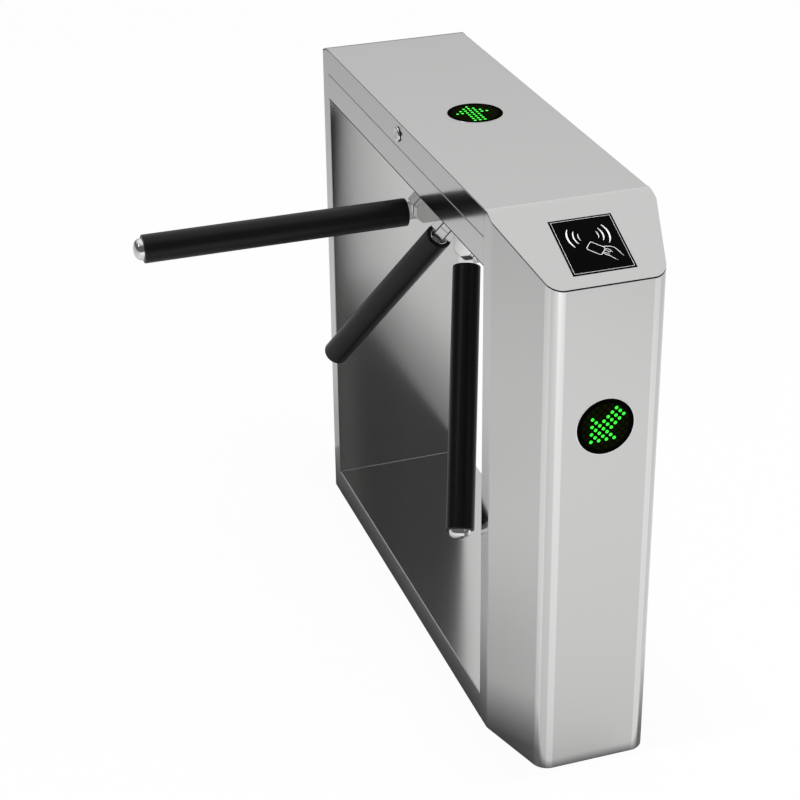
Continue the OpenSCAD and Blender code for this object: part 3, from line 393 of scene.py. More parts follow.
def lidUnder(x, drop):
    past = x - (cabinet["foldX"] - foldReach)
    r = cabinet["foldRadius"]
    lean = math.asin(min(max(past, 0) / r, math.sin(slopeAngle)))
    if lean < slopeAngle - 1e-6:
        return cabinet["height"] - r + r * math.cos(lean) - drop / math.cos(lean)
    return cabinet["height"] - (x - cabinet["foldX"]) * math.tan(slopeAngle) - drop / math.cos(slopeAngle)


def endFrame(side):
    turn = Matrix.Rotation(math.pi / 2, 4, "Y")
    place = Matrix.Translation((cabinet["halfLength"], 0, cabinet["indicatorZ"])) @ turn
    return place if side > 0 else Matrix.Scale(-1, 4, (1, 0, 0)) @ place


def slopeFrame(side):
    place = Matrix.Translation((cabinet["foldX"], 0, cabinet["height"])) @ Matrix.Rotation(slopeAngle, 4, "Y")
    return place if side > 0 else Matrix.Scale(-1, 4, (1, 0, 0)) @ place


topFrame = Matrix.Translation((cabinet["topIndicatorX"], 0, cabinet["height"]))
lockFrame = (Matrix.Translation((0, -cabinet["halfWidth"], cabinet["lockZ"]))
             @ Matrix.Rotation(math.pi / 2, 4, "X"))


def columnWall(side, inset, lowAt, highAt):
    c = cabinet
    wide, end, nose = c["halfWidth"] - inset, c["halfLength"] - inset, c["noseHalf"] - inset * 0.6
    arcXs = [c["foldX"] - foldReach + k / 6 * foldReach * (1 + math.cos(slopeAngle)) for k in range(7)]
    half = [(c["openX"], wide)] + [(x, wide) for x in arcXs] + [(c["taperX"], wide), (end, nose)]
    corners = half + [(x, -y) for x, y in reversed(half)]
    bm = bmesh.new()
    row = [bm.verts.new((x * side, y, 0)) for x, y in corners]
    edges = [bm.edges.new(pair) for pair in zip(row, row[1:])]
    made = bmesh.ops.extrude_edge_only(bm, edges=edges)["geom"]
    bmesh.ops.translate(bm, vec=(0, 0, 1), verts=[g for g in made if isinstance(g, bmesh.types.BMVert)])
    upright = [e for e in bm.edges if abs(e.verts[0].co.z - e.verts[1].co.z) > 0.5]
    noseEdges = [e for e in upright if abs(abs(e.verts[0].co.x) - end) < 1e-5]
    bendEdges = [e for e in upright if abs(abs(e.verts[0].co.x) - c["taperX"]) < 1e-5]
    bmesh.ops.bevel(bm, geom=noseEdges, offset=c["cornerRadius"] * noseTurn, segments=12, profile=0.5, affect="EDGES",
                    material=-1)
    bmesh.ops.bevel(bm, geom=bendEdges, offset=c["bendRadius"] * math.tan(taperAngle / 2), segments=5, profile=0.5,
                    affect="EDGES", material=-1)
    for vert in bm.verts:
        vert.co.z = highAt(abs(vert.co.x)) if vert.co.z > 0.5 else lowAt(abs(vert.co.x))
    faceAwayFrom(bm, (0.5 * side, 0, 0.5 * (lowAt(0.5) + highAt(0.5))))
    return bm


def makeColumnShell(side):
    c = cabinet
    drop = c["sheet"] + c["shellGap"]
    obj = objectFrom(columnWall(side, 0.0, lambda x: 0.0, lambda x: lidUnder(x, drop)),
                     "nearColumnShell" if side > 0 else "farColumnShell")
    addSheet(obj, c["sheet"])
    cutAway(obj, [rodPiece("cutter", c["lampHole"], -0.01, 0.01, endFrame(side), 96)])
    roundEdges(obj, 0.0004, 2, 60)

    # painted highlight: lighter strips on the nose's bends, at the listed turns
    def highlightPaintFaces(polygon):
        n = polygon.normal
        around = math.degrees(math.atan2(abs(n.y), n.x * side))
        onBend = any(low < around < high for low, high in c["highlightPaintTurns"])
        return abs(n.z) < 0.2 and abs(polygon.center.x) > 0.56 and onBend

    finish(obj, steelUpright, "cabinet", ["near_column_shell" if side > 0 else "far_column_shell"],
           highlightPaint=bendHighlightPaint, onHighlightPaint=highlightPaintFaces)
    # painted shade: a black strip fills the gap under the lid, standing in for its shade
    blackFill = objectFrom(columnWall(side, 0.0004, lambda x: lidUnder(x, drop - 0.0002),
                                 lambda x: lidUnder(x, c["sheet"] + 0.0001)),
                      "nearLidGapShade" if side > 0 else "farLidGapShade")
    addSheet(blackFill, 0.0011)
    finish(blackFill, blackStrips, "cabinet")


for side in (1, -1):
    makeColumnShell(side)


def makeLid():
    c = cabinet
    corners = [(c["halfLength"], c["noseHalf"]), (c["taperX"], c["halfWidth"]), (-c["taperX"], c["halfWidth"]),
               (-c["halfLength"], c["noseHalf"]), (-c["halfLength"], -c["noseHalf"]), (-c["taperX"], -c["halfWidth"]),
               (c["taperX"], -c["halfWidth"]), (c["halfLength"], -c["noseHalf"])]
    bm = bmesh.new()
    bm.faces.new([bm.verts.new((x, y, c["height"])) for x, y in corners])
    noseVerts = [v for v in bm.verts if abs(v.co.x) > 0.59]
    bendVerts = [v for v in bm.verts if abs(v.co.x) < 0.59]
    bmesh.ops.bevel(bm, geom=noseVerts, offset=c["cornerRadius"] * noseTurn, segments=12, profile=0.5,
                    affect="VERTICES", material=-1)
    bmesh.ops.bevel(bm, geom=bendVerts, offset=c["bendRadius"] * math.tan(taperAngle / 2), segments=5, profile=0.5,
                    affect="VERTICES", material=-1)
    skirtEnd = c["openX"] - 0.0002
    for x in (c["foldX"], skirtEnd, -skirtEnd, -c["foldX"]):
        bmesh.ops.bisect_plane(bm, geom=bm.verts[:] + bm.edges[:] + bm.faces[:], plane_co=(x, 0, 0),
                               plane_no=(1, 0, 0), dist=1e-7)
    for vert in bm.verts:
        past = abs(vert.co.x) - c["foldX"]
        if past > 0:
            vert.co.z -= past * math.tan(slopeAngle)
    sides = [e for e in bm.edges if len(e.link_faces) == 1
             and all(abs(abs(v.co.y) - c["halfWidth"]) < 1e-5 and abs(v.co.x) < skirtEnd + 1e-5 for v in e.verts)]
    made = bmesh.ops.extrude_edge_only(bm, edges=sides)["geom"]
    for vert in [g for g in made if isinstance(g, bmesh.types.BMVert)]:
        vert.co.z = c["seam"] + c["gap"] / 2 + 0.0004
    folds = [e for e in bm.edges if len(e.link_faces) == 2
             and all(abs(abs(v.co.x) - c["foldX"]) < 1e-5 for v in e.verts)]
    bmesh.ops.bevel(bm, geom=folds, offset=foldReach, segments=8, profile=0.5, affect="EDGES", material=-1)
    bends = [e for e in bm.edges if len(e.link_faces) == 2 and e.calc_face_angle() > 1.0]
    bmesh.ops.bevel(bm, geom=bends, offset=c["skirtBend"], segments=5, profile=0.5, affect="EDGES", material=-1)
    faceAwayFrom(bm, (0, 0, 0.6))
    obj = objectFrom(bm, "lidSheet")
    addSheet(obj, c["sheet"])
    cutters = [rodPiece("cutter", c["lampHole"], -0.01, 0.01, topFrame, 96),
               rodPiece("cutter", c["lockHole"], -0.01, 0.01, lockFrame, 48)]
    alongHalf, acrossHalf = window["length"] / 2 + 0.0003, window["width"] / 2 + 0.0003
    for side in (1, -1):
        cutters.append(boxPiece("cutter", (window["at"] - alongHalf, -acrossHalf, -0.01),
                                (window["at"] + alongHalf, acrossHalf, 0.01), slopeFrame(side)))
    cutAway(obj, cutters)

    # painted highlight: a lighter line at the start of the lid's fold
    def foldHighlightPaintFaces(polygon):
        lean = math.degrees(math.atan2(abs(polygon.normal.x), polygon.normal.z))
        return 0.5 < lean < 2.9 and abs(polygon.normal.y) < 0.02

    return finish(obj, steelAlong, "lid", ["lid"], highlightPaint=bendHighlightPaint, onHighlightPaint=foldHighlightPaintFaces)


window = {"at": 0.09801, "length": 0.117027, "width": 0.107, "proud": 0.0005, "print": 0.0002, "border": 0.0035,
          "line": 0.0009}
makeLid()


def makeRails():
    c = cabinet
    top = c["seam"] - c["gap"] / 2
    for side, name in ((-1, "armSideRail"), (1, "backRail")):
        y = side * c["halfWidth"]
        inner = y - side * (c["sheet"] + c["railFlange"])
        under = c["ceiling"] - 0.0002
        rail = foldedStrip(name, [(y - side * 0.0045, under), (y, under), (y, top), (inner, top)], -c["openX"],
                           c["openX"], c["railBend"], c["sheet"], (0, y - side * 0.01, (under + top) / 2))
        finish(rail, steelAlong, "cabinet", ["top_rails"])
        # painted shade: a black strip along the rail's lower edge stands in for the shade line there
        outer = y + side * 0.0002
        shadeStripLine = [(y - side * 0.0040, under - 0.0004), (outer, under - 0.0004), (outer, under + 0.0010)]
        shadeStrip = foldedStrip(name + "ShadeStrip", shadeStripLine, -c["openX"], c["openX"], 0.0003, 0.0006,
                           (0, y - side * 0.01, under + 0.01))
        finish(shadeStrip, blackStrips, "cabinet")


keeper = {"baseY": -0.133, "standY": -0.109, "hookY": -0.122, "hookZ": 0.9645, "start": 0.040, "end": 0.054,
          "bend": 0.0016, "sheet": 0.0015}


def makeKeeper():
    c, k = cabinet, keeper
    baseZ, hookZ = c["seam"] - c["gap"] / 2 - c["sheet"], k["hookZ"] + k["sheet"]
    profile = [(k["baseY"], baseZ), (k["standY"], baseZ), (k["standY"], hookZ), (k["hookY"], hookZ)]
    tab = foldedStrip("lockKeeper", profile, k["start"], k["end"], k["bend"], k["sheet"], (0.047, -0.13, 0.94))
    finish(tab, machineSteel, "cabinet", ["top_rails"])


def makePlinth():
    c = cabinet
    wide, high = c["halfWidth"], c["plinth"]
    plinth = foldedStrip("plinthSheet", [(-wide, 0), (-wide, high), (wide, high), (wide, 0)], -c["openX"], c["openX"],
                         c["plinthBend"], c["sheet"], (0, 0, 0))
    finish(plinth, steelInside, "cabinet", ["plinth_panel"])
    reach = wide - 0.002
    bead = [(-reach, 0), (-reach + 0.0003, 0.0006), (-reach + 0.0010, 0.0009), (reach - 0.0010, 0.0009),
            (reach - 0.0003, 0.0006), (reach, 0)]
    for side, name in ((1, "nearFloorSeam"), (-1, "farFloorSeam")):
        corner = Matrix.Translation((side * (c["openX"] - 0.0003), 0, high))
        place = corner @ Matrix.Rotation(math.pi / 2, 4, "X")
        finish(turnedPiece(name, bead, place, steps=24), steelInside, "cabinet")


makeRails()
makeKeeper()
makePlinth()
print("cabinet sheets done")


# arrow lamps
lamp = {"radius": 0.049, "proud": 0.0005, "pitchAlong": 0.0098, "pitchAcross": 0.0091, "dotProud": 0.0003,
        "endDot": 0.0030, "topDot": 0.0026, "topShift": (0.0016, -0.0040), "rows": (1, 3, 5, 7, 3, 3, 3, 3),
        "cup": 0.054, "cupDepth": 0.004, "rimWidth": 0.0015, "endTurn": math.radians(135), "dotEdge": (0.22, 0.34),
        "oliveEdge": (0.040, 0.0425), "black": (0.0016, 0.0016, 0.0014), "olive": (0.0034, 0.0040, 0.0009),
        "unlit": (0.0052, 0.0105, 0.0016)}


def makeLens(name, middle, turned, shift=(0.0, 0.0)):
    material, tree, shader = newMaterial(name)
    place = tree.nodes.new("ShaderNodeTexCoord")
    split = tree.nodes.new("ShaderNodeSeparateXYZ")
    tree.links.new(place.outputs["Object"], split.inputs["Vector"])
    first, second = ("Y", "Z") if turned else ("X", "Y")
    a = addMaths(tree, "SUBTRACT", split.outputs[first], middle[0])
    b = addMaths(tree, "SUBTRACT", split.outputs[second], middle[1])
    along, across = a, b
    if turned:
        along = addMaths(tree, "MULTIPLY", addMaths(tree, "ADD", a, b), math.sqrt(0.5))
        across = addMaths(tree, "MULTIPLY", addMaths(tree, "SUBTRACT", a, b), math.sqrt(0.5))
    along = addMaths(tree, "DIVIDE", addMaths(tree, "SUBTRACT", along, shift[0]), lamp["pitchAlong"])
    across = addMaths(tree, "DIVIDE", addMaths(tree, "SUBTRACT", across, shift[1]), lamp["pitchAcross"])
    u = addMaths(tree, "PINGPONG", addMaths(tree, "ADD", along, 0.5), 0.5)
    v = addMaths(tree, "PINGPONG", across, 0.5)

    def howFar(p, q):
        squares = addMaths(tree, "ADD", addMaths(tree, "MULTIPLY", p, p), addMaths(tree, "MULTIPLY", q, q))
        return addMaths(tree, "SQRT", squares)

    dots = spread(tree, howFar(u, v), 1.0, 0.0, *lamp["dotEdge"])
    inner = spread(tree, howFar(a, b), 1.0, 0.0, *lamp["oliveEdge"])  # olive within, a black border outside
    ground = mixColours(tree, inner, lamp["black"], lamp["olive"])
    base = mixColours(tree, addMaths(tree, "MULTIPLY", dots, inner), ground, lamp["unlit"])
    tree.links.new(base, shader.inputs["Base Color"])
    tree.links.new(spread(tree, dots, 0.3, 0.4, 0.0, 1.0), shader.inputs["Roughness"])
    addBump(tree, shader, dots, 0.01, 0.0002)
    shader.inputs["Specular IOR Level"].default_value = 0.0
    return material


def makeDotGreen():
    material, tree, shader = newMaterial("lampGreen")
    glow = noise(tree, objectPattern(tree, (1, 1, 1)), 260.0, 1.0)
    colour = mixColours(tree, glow, (0.0, 0.56, 0.008), (0.03, 0.90, 0.035))
    tree.links.new(colour, shader.inputs["Base Color"])
    tree.links.new(colour, shader.inputs["Emission Color"])
    shader.inputs["Emission Strength"].default_value = 0.85
    tree.links.new(spread(tree, glow, 0.25, 0.35), shader.inputs["Roughness"])
    addBump(tree, shader, glow, 0.03, 0.0002)
    return material


lensEnd = makeLens("lensEnd", (0.0, cabinet["indicatorZ"]), True)
lensTop = makeLens("lensTop", (cabinet["topIndicatorX"], 0.0), False, lamp["topShift"])
lampGreen = makeDotGreen()


def makeArrowLamp(name, place, body, material, replacedLens, replacedDots, arrowTurn, dot, shift=(0, 0)):
    p = lamp
    r = p["radius"]
    under = -cabinet["sheet"] - 0.00002
    outline = [(-p["cupDepth"], 0), (-p["cupDepth"], p["cup"]), (under, p["cup"]), (under, r),
               (p["proud"] - 0.0003, r), (p["proud"], r - 0.0003), (p["proud"], 0)]
    lens = turnedPiece(name + "Lens", outline, place, steps=96)
    finish(lens, material, body, [replacedLens])
    near, far = r + 0.0002, r + 0.0002 + p["rimWidth"]
    rim = [(-0.0001, near), (0.0003, near), (0.0004, near + 0.0002), (0.0003, far - 0.0003), (-0.0001, far)]
    finish(turnedPiece(name + "Rim", rim, place, closed=True, steps=96), polished, body)
    bm = bmesh.new()
    middle = (len(p["rows"]) - 1) / 2
    for row, count in enumerate(p["rows"]):
        for k in range(count):
            made = bmesh.ops.create_uvsphere(bm, u_segments=14, v_segments=8, radius=dot)["verts"]
            bmesh.ops.scale(bm, vec=(1, 1, p["dotProud"] / dot), verts=made)
            along = (row - middle) * p["pitchAlong"] + shift[0]
            across = (k - (count - 1) / 2) * p["pitchAcross"] + shift[1]
            bmesh.ops.translate(bm, vec=(along, across, p["proud"]), verts=made)
    bmesh.ops.bisect_plane(bm, geom=bm.verts[:] + bm.edges[:] + bm.faces[:], plane_co=(0, 0, p["proud"]),
                           plane_no=(0, 0, 1), clear_inner=True, dist=1e-7)
    rims = [e for e in bm.edges if len(e.link_faces) == 1]
    bmesh.ops.edgeloop_fill(bm, edges=rims)
    bmesh.ops.transform(bm, matrix=place @ Matrix.Rotation(arrowTurn, 4, "Z"), verts=bm.verts)
    dots = objectFrom(cleaned(bm), name + "Dots")
    finish(dots, lampGreen, body, [replacedDots])


for side, name in ((1, "nearLamp"), (-1, "farLamp")):
    makeArrowLamp(name, endFrame(side), "cabinet", lensEnd, "end_indicator_lenses", "end_indicator_dots",
                  lamp["endTurn"], lamp["endDot"])
makeArrowLamp("topLamp", topFrame, "lid", lensTop, "top_indicator_lens", "top_indicator_dots", 0, lamp["topDot"],
              lamp["topShift"])
print("arrow lamps done")


# reader windows and their printed symbols
def inkStroke(name, points, widths, place, closed=False):
    data = bpy.data.curves.new(name, "CURVE")
    data.dimensions = "3D"
    data.bevel_depth = 1.0
    data.bevel_resolution = 2
    data.use_fill_caps = True
    spline = data.splines.new("POLY")
    spline.points.add(len(points) - 1)
    spline.use_cyclic_u = closed
    for point, (a, b), w in zip(spline.points, points, widths):
        point.co = (a, b, 0, 1)
        point.radius = w / 2
    obj = bpy.data.objects.new(name, data)
    bpy.context.scene.collection.objects.link(obj)
    bpy.context.view_layer.update()
    mesh = bpy.data.meshes.new_from_object(obj.evaluated_get(bpy.context.evaluated_depsgraph_get()))
    bpy.data.objects.remove(obj)
    bm = bmesh.new()
    bm.from_mesh(mesh)
    bpy.data.meshes.remove(mesh)
    thick = max(widths) / 2
    bmesh.ops.scale(bm, vec=(1, 1, window["print"] / thick), verts=bm.verts)
    bmesh.ops.transform(bm, matrix=place @ Matrix.Translation((window["at"], 0, window["proud"])), verts=bm.verts)
    return bm


def arcPoints(centre, radius, start, end, count=14):
    turns = [math.radians(start + (end - start) * k / count) for k in range(count + 1)]
    return [(centre[0] + radius * math.cos(turn), centre[1] + radius * math.sin(turn)) for turn in turns]


def joined(name, parts):
    whole = bmesh.new()
    for bm in parts:
        mesh = bpy.data.meshes.new("part")
        bm.to_mesh(mesh)
        bm.free()
        whole.from_mesh(mesh)
        bpy.data.meshes.remove(mesh)
    return objectFrom(cleaned(whole), name)


waves = {"centre": (-0.018, 0), "arcs": ((0.0166, 26, 0.0016), (0.0245, 33, 0.0024), (0.0346, 34, 0.0030))}
card = {"half": (0.0128, 0.009), "round": 0.003, "at": (0.0093, 0.0026), "turn": math.radians(48.3), "line": 0.0011}
handLines = (
    [(0.0075, 0.0141), (0.0078, 0.0190), (0.0092, 0.0250), (0.0110, 0.0300), (0.0128, 0.0325), (0.0180, 0.0350),
     (0.0250, 0.0380), (0.0325, 0.0407)],
    [(0.0205, 0.0100), (0.0240, 0.0130), (0.0280, 0.0185), (0.0320, 0.0220), (0.0392, 0.0283)],
    [(0.0150, 0.0150), (0.0165, 0.0185), (0.0195, 0.0195), (0.0205, 0.0225), (0.0180, 0.0240)],
    [(0.0125, 0.0180), (0.0145, 0.0220), (0.0175, 0.0240), (0.0215, 0.0262)],
    [(0.0190, 0.0125), (0.0215, 0.0150), (0.0230, 0.0180), (0.0260, 0.0200)],
)


def makeReader(side, prefix):
    p = window
    place = slopeFrame(side)
    half, halfWide = p["length"] / 2, p["width"] / 2
    pane = boxPiece(prefix + "Window", (p["at"] - half, -halfWide, -cabinet["sheet"]),
                    (p["at"] + half, halfWide, p["proud"]), place)
    roundEdges(pane, 0.0004, 3)
    finish(pane, windowBlack, "lid", ["reader_windows"])
    a, b = half - p["border"], halfWide - p["border"]
    parts = [inkStroke("ink", [(-a, -b), (a, -b), (a, b), (-a, b)], [p["line"]] * 4, place, True)]
    for way in (-1, 1):
        for radius, sweep, thick in waves["arcs"]:
            points = arcPoints(waves["centre"], radius, way * 90 - sweep, way * 90 + sweep)
            last = len(points) - 1
            widths = [thick * (0.25 + 0.75 * math.sin(math.pi * k / last) ** 0.7) for k in range(last + 1)]
            parts.append(inkStroke("ink", points, widths, place))
    turn, (reachA, reachB) = card["turn"], (size - card["round"] for size in card["half"])
    corners = ((reachA, reachB), (-reachA, reachB), (-reachA, -reachB), (reachA, -reachB))
    edge = []
    for quarter, corner in enumerate(corners):
        for x, y in arcPoints(corner, card["round"], quarter * 90, quarter * 90 + 90, 4):
            edge.append((card["at"][0] + x * math.cos(turn) - y * math.sin(turn),
                         card["at"][1] + x * math.sin(turn) + y * math.cos(turn)))
    parts.append(inkStroke("ink", edge, [card["line"]] * len(edge), place, True))
    for points in handLines:
        widths = [card["line"]] * len(points)
        widths[-1] = 0.0005
        parts.append(inkStroke("ink", points, widths, place))
    finish(joined(prefix + "Symbols", parts), printWhite, "lid", ["reader_symbols"])


makeReader(1, "nearReader")
makeReader(-1, "farReader")
print("readers done")


# lock
lock = {"flange": 0.013, "proud": 0.0045, "plug": 0.006, "hole": 0.00606, "barrel": 0.0095, "nut": 0.0128,
        "keySlot": 0.0016}


def makeLock():
    p = lock
    barrel, nut, under = p["barrel"], p["nut"], -0.0016
    ring = [(-0.022, p["hole"]), (-0.022, barrel), (-0.0055, barrel), (-0.0055, nut), (under, nut),
            (under, barrel), (0.0012, barrel), (0.0012, p["flange"]), (p["proud"] - 0.0022, p["flange"]),
            (p["proud"] - 0.0010, p["flange"] - 0.0005), (p["proud"] - 0.0002, p["flange"] - 0.0016),
            (p["proud"], p["flange"] - 0.0030), (p["proud"] - 0.0004, p["hole"] + 0.0012),
            (p["proud"] - 0.0014, p["hole"])]
    finish(turnedPiece("lockRing", ring, lockFrame, closed=True, steps=64), polished, "lid",
           ["lock_body"])
    # a black ring under the lock's flange, reaching a little past it
    blackFill = [(0.0001, barrel + 0.0001), (0.0001, p["flange"] + 0.0006), (0.0009, p["flange"] + 0.0006),
            (0.0012, p["flange"] + 0.0001), (0.0012, barrel + 0.0001)]
    finish(turnedPiece("lockBlackRing", blackFill, lockFrame, closed=True, steps=64), blackStrips, "lid")
    plug = [(-0.0275, 0), (-0.0275, 0.004), (-0.0225, 0.004), (-0.0225, p["plug"]), (p["proud"] - 0.0012, p["plug"]),
            (p["proud"] - 0.0006, p["plug"] - 0.0006), (p["proud"] - 0.0006, 0)]
    plugObject = turnedPiece("lockPlugTurned", plug, lockFrame, steps=48)
    slotHalf = p["keySlot"] / 2
    slot = boxPiece("cutter", (-slotHalf, -0.004, p["proud"] - 0.003), (slotHalf, 0.004, 0.01), lockFrame)
    cutAway(plugObject, [slot])
    finish(plugObject, polished, "lock_plug", ["lock_plug"])


makeLock()
print("lock done")


# arms: sleeves, caps, roots and the hub
hub = {"place": (0, -0.009, 0.808), "ball": 0.052, "back": 0.038, "barWidth": 0.045, "low": 0.0165,
       "high": -0.0285, "front": 0.107, "chamfer": 0.013, "slot": 0.021, "slotEnd": 0.062, "knuckle": 0.0180,
       "pivotOut": 0.098, "pivotUp": 0.002, "pin": 0.005, "rootEnd": 0.118}
sleeve = {"start": 0.119, "end": 0.595, "radius": 0.025, "tube": 0.019, "collar": 0.0171, "edge": 0.0012,
          "dome": 0.014}
arms = ((0, "top", "top_arm"), (120, "near", "rotor"), (240, "far", "rotor"))
rotorFrame = Matrix.Translation(hub["place"]) @ Matrix.Rotation(-math.pi / 4, 4, "X")


def armFrame(turn):
    spinTurn = Matrix.Rotation(math.radians(turn), 4, "Z")
    lean = Matrix.Rotation(math.pi / 4, 4, "X")
    lay = Matrix.Rotation(-math.pi / 2, 4, "Z") @ Matrix.Rotation(math.pi, 4, "X")
    return rotorFrame @ spinTurn @ lean @ lay


def alongArm(turn):
    return armFrame(turn) @ Matrix.Rotation(math.pi / 2, 4, "Y")


def acrossArm(turn):
    return armFrame(turn) @ Matrix.Rotation(math.pi / 2, 4, "X")


def makeSleeve(name, turn, body, replaced):
    p = sleeve
    start, end, outer, edge = p["start"], p["end"], p["radius"], p["edge"]
    bore, hole, steps = p["tube"] + 0.0003, p["collar"] + 0.0001, 12
    outline = [(start, hole), (start, outer - edge), (start + edge * 0.3, outer - edge * 0.3), (start + edge, outer)]
    outline += [(start + edge + (end - start - 2 * edge) * k / steps, outer) for k in range(1, steps)]
    outline += [(end - edge, outer), (end - edge * 0.3, outer - edge * 0.3), (end, outer - edge), (end, bore),
                (start + 0.002, bore), (start + 0.002, hole)]
    obj = turnedPiece(name, outline, alongArm(turn), closed=True, steps=96)
    finish(obj, sleeveBlack, body, [replaced], 25)


def makeCap(name, turn, body, replaced):
    r = sleeve["tube"]
    end = sleeve["end"]
    dome = [(end + 0.0005, r - 0.0006), (end + 0.0010, r), (end + 0.0020, r)]
    for k in range(1, 20):
        a = math.pi / 2 * k / 20
        dome.append((end + 0.002 + sleeve["dome"] * math.sin(a) ** 0.8, r * math.cos(a) ** 0.8))
    outline = [(end - 0.012, 0), (end - 0.012, r - 0.0031), (end + 0.0005, r - 0.0031)] + dome
    outline += [(end + 0.002 + sleeve["dome"], 0)]
    obj = turnedPiece(name, outline, alongArm(turn), steps=96)
    finish(obj, polished, body, [replaced], 40)


def barOutline(fromOut, inset=0.0):
    h = hub
    return [(fromOut, h["high"] + inset), (h["front"] - h["chamfer"], h["high"] + inset),
            (h["front"], h["high"] + h["chamfer"]), (h["front"], h["low"] - h["chamfer"]),
            (h["front"] - h["chamfer"], h["low"] - inset), (fromOut, h["low"] - inset)]


def makeHub():
    h = hub
    bm = bmesh.new()
    bmesh.ops.create_uvsphere(bm, u_segments=96, v_segments=64, radius=h["ball"])
    bmesh.ops.bisect_plane(bm, geom=bm.verts[:] + bm.edges[:] + bm.faces[:], plane_co=(0, 0, h["back"]),
                           plane_no=(0, 0, 1), clear_outer=True, dist=1e-7)
    bmesh.ops.edgeloop_fill(bm, edges=[e for e in bm.edges if len(e.link_faces) == 1])
    bmesh.ops.transform(bm, matrix=rotorFrame, verts=bm.verts)
    ball = objectFrom(cleaned(bm), "hubBall")
    finish(ball, hubMetal, "rotor", ["hub"])
    neck = turnedPiece("hubNeck", [(0.033, 0), (0.033, 0.022), (0.0475, 0.022), (0.048, 0.0215), (0.048, 0)],
                       rotorFrame, steps=64)
    finish(neck, hubMetal, "rotor", ["hub"])
    wide, gap = h["barWidth"] / 2, h["slot"] / 2
    for turn, name, body in arms:
        bar = platePiece(name + "Bar", barOutline(0.02), -wide, wide, acrossArm(turn))
        cutAway(bar, [boxPiece("cutter", (h["slotEnd"], -gap, -0.06), (0.15, gap, 0.06), armFrame(turn))])
        roundEdges(bar, 0.0011, 3)
        finish(bar, hubMetal, "rotor", ["hub"])


# painted shade: black plates fill the slot beside each knuckle, standing in for the dark gap there
def makeSlotShadeFills(name, turn):
    h = hub
    gap, reach = h["knuckle"] / 2 + 0.0001, h["slot"] / 2 - 0.0001
    outline = barOutline(h["slotEnd"] + 0.0005, 0.0005)
    outline[2:4] = [(a - 0.0005, b) for a, b in outline[2:4]]
    for low, high, end in ((gap, reach, "Upper"), (-reach, -gap, "Lower")):
        finish(platePiece(name + end, outline, low, high, acrossArm(turn)), blackStrips, "rotor")


def makePins():
    reach, radius, edge = hub["barWidth"] / 2 - 0.0008, hub["pin"], 0.0006
    outline = [(-reach, 0), (-reach, radius - edge), (-reach + edge, radius), (reach - edge, radius),
               (reach, radius - edge), (reach, 0)]
    for turn, name, body in arms:
        place = acrossArm(turn) @ Matrix.Translation((hub["pivotOut"], -hub["pivotUp"], 0))
        pin = turnedPiece(name + "Pin", outline, place, steps=40)
        finish(pin, machineSteel, "rotor", ["arm_pins"])


def makeKnuckle(name, turn, body, replaced):
    h = hub
    rear = h["slotEnd"] + 0.0008
    out = h["pivotOut"]
    up = -h["pivotUp"]
    eye = h["low"] - up - 0.0002  # radius of the root's end round its pivot
    top = h["high"] + 0.0002
    neckTop = h["high"] + h["chamfer"]
    neckLow = h["low"] - 0.0045
    shoulder, bottom = h["front"] - h["chamfer"], h["low"] - 0.0002
    outline = [(rear, top), (shoulder, top), (h["front"] + 0.0002, neckTop), (h["rootEnd"], neckTop),
               (h["rootEnd"], neckLow), (shoulder + 0.0045, neckLow), (shoulder, bottom), (out - eye, bottom),
               (out - eye, up), (rear, up)]
    folding = body == "top_arm"
    plate = platePiece(name + "Plate", outline, -h["knuckle"] / 2, h["knuckle"] / 2, acrossArm(turn),
                       rounded=[(7, eye * 0.999)] if folding else ())
    if not folding:
        stopEnd, stopTop = out - eye - 0.0012, up + 0.0008
        stop = platePiece(name + "Stop", [(rear, stopTop), (rear, bottom), (stopEnd, bottom), (stopEnd, stopTop)],
                          -h["knuckle"] / 2, h["knuckle"] / 2, acrossArm(turn))
        roundEdges(stop, 0.0003, 2)
        finish(stop, hubMetal, body, [replaced])
    groove = boxPiece("cutter", (shoulder - 0.0003, -0.02, top - 0.001), (shoulder + 0.0003, 0.02, top + 0.0006),
                      armFrame(turn))
    cutAway(plate, [groove])
    roundEdges(plate, 0.0004, 2, 40)
    finish(plate, hubMetal, body, [replaced])
    start, collar, stem = sleeve["start"], sleeve["collar"], sleeve["tube"] - 0.0031
    outline = [(start - 0.0015, 0), (start - 0.0015, collar - 0.0006), (start - 0.0009, collar),
               (start + 0.0018, collar), (start + 0.0018, stem), (start + 0.046, stem), (start + 0.046, 0)]
    spigot = turnedPiece(name + "Spigot", outline, alongArm(turn), steps=64)
    finish(spigot, hubMetal, body, [replaced])


makeHub()
makePins()
for turn, name, body in arms:
    makeSlotShadeFills(name + "SlotShade", turn)
print("hub done")
for make, part, topNode, lowerNode in ((makeKnuckle, "Root", "top_arm_knuckle", "lower_arm_knuckles"),
                                       (makeSleeve, "Sleeve", "top_arm_sleeve", "lower_arm_sleeves"),
                                       (makeCap, "Cap", "top_arm_cap", "lower_arm_caps")):
    for turn, name, body in arms:
        make(name + part, turn, body, topNode if body == "top_arm" else lowerNode)
print("arms done")


# index spring, wound from wire between its post and the lever
spring = {"coil": 0.00425, "wire": 0.0007, "turns": 13, "steps": 24, "outer": 0.005}


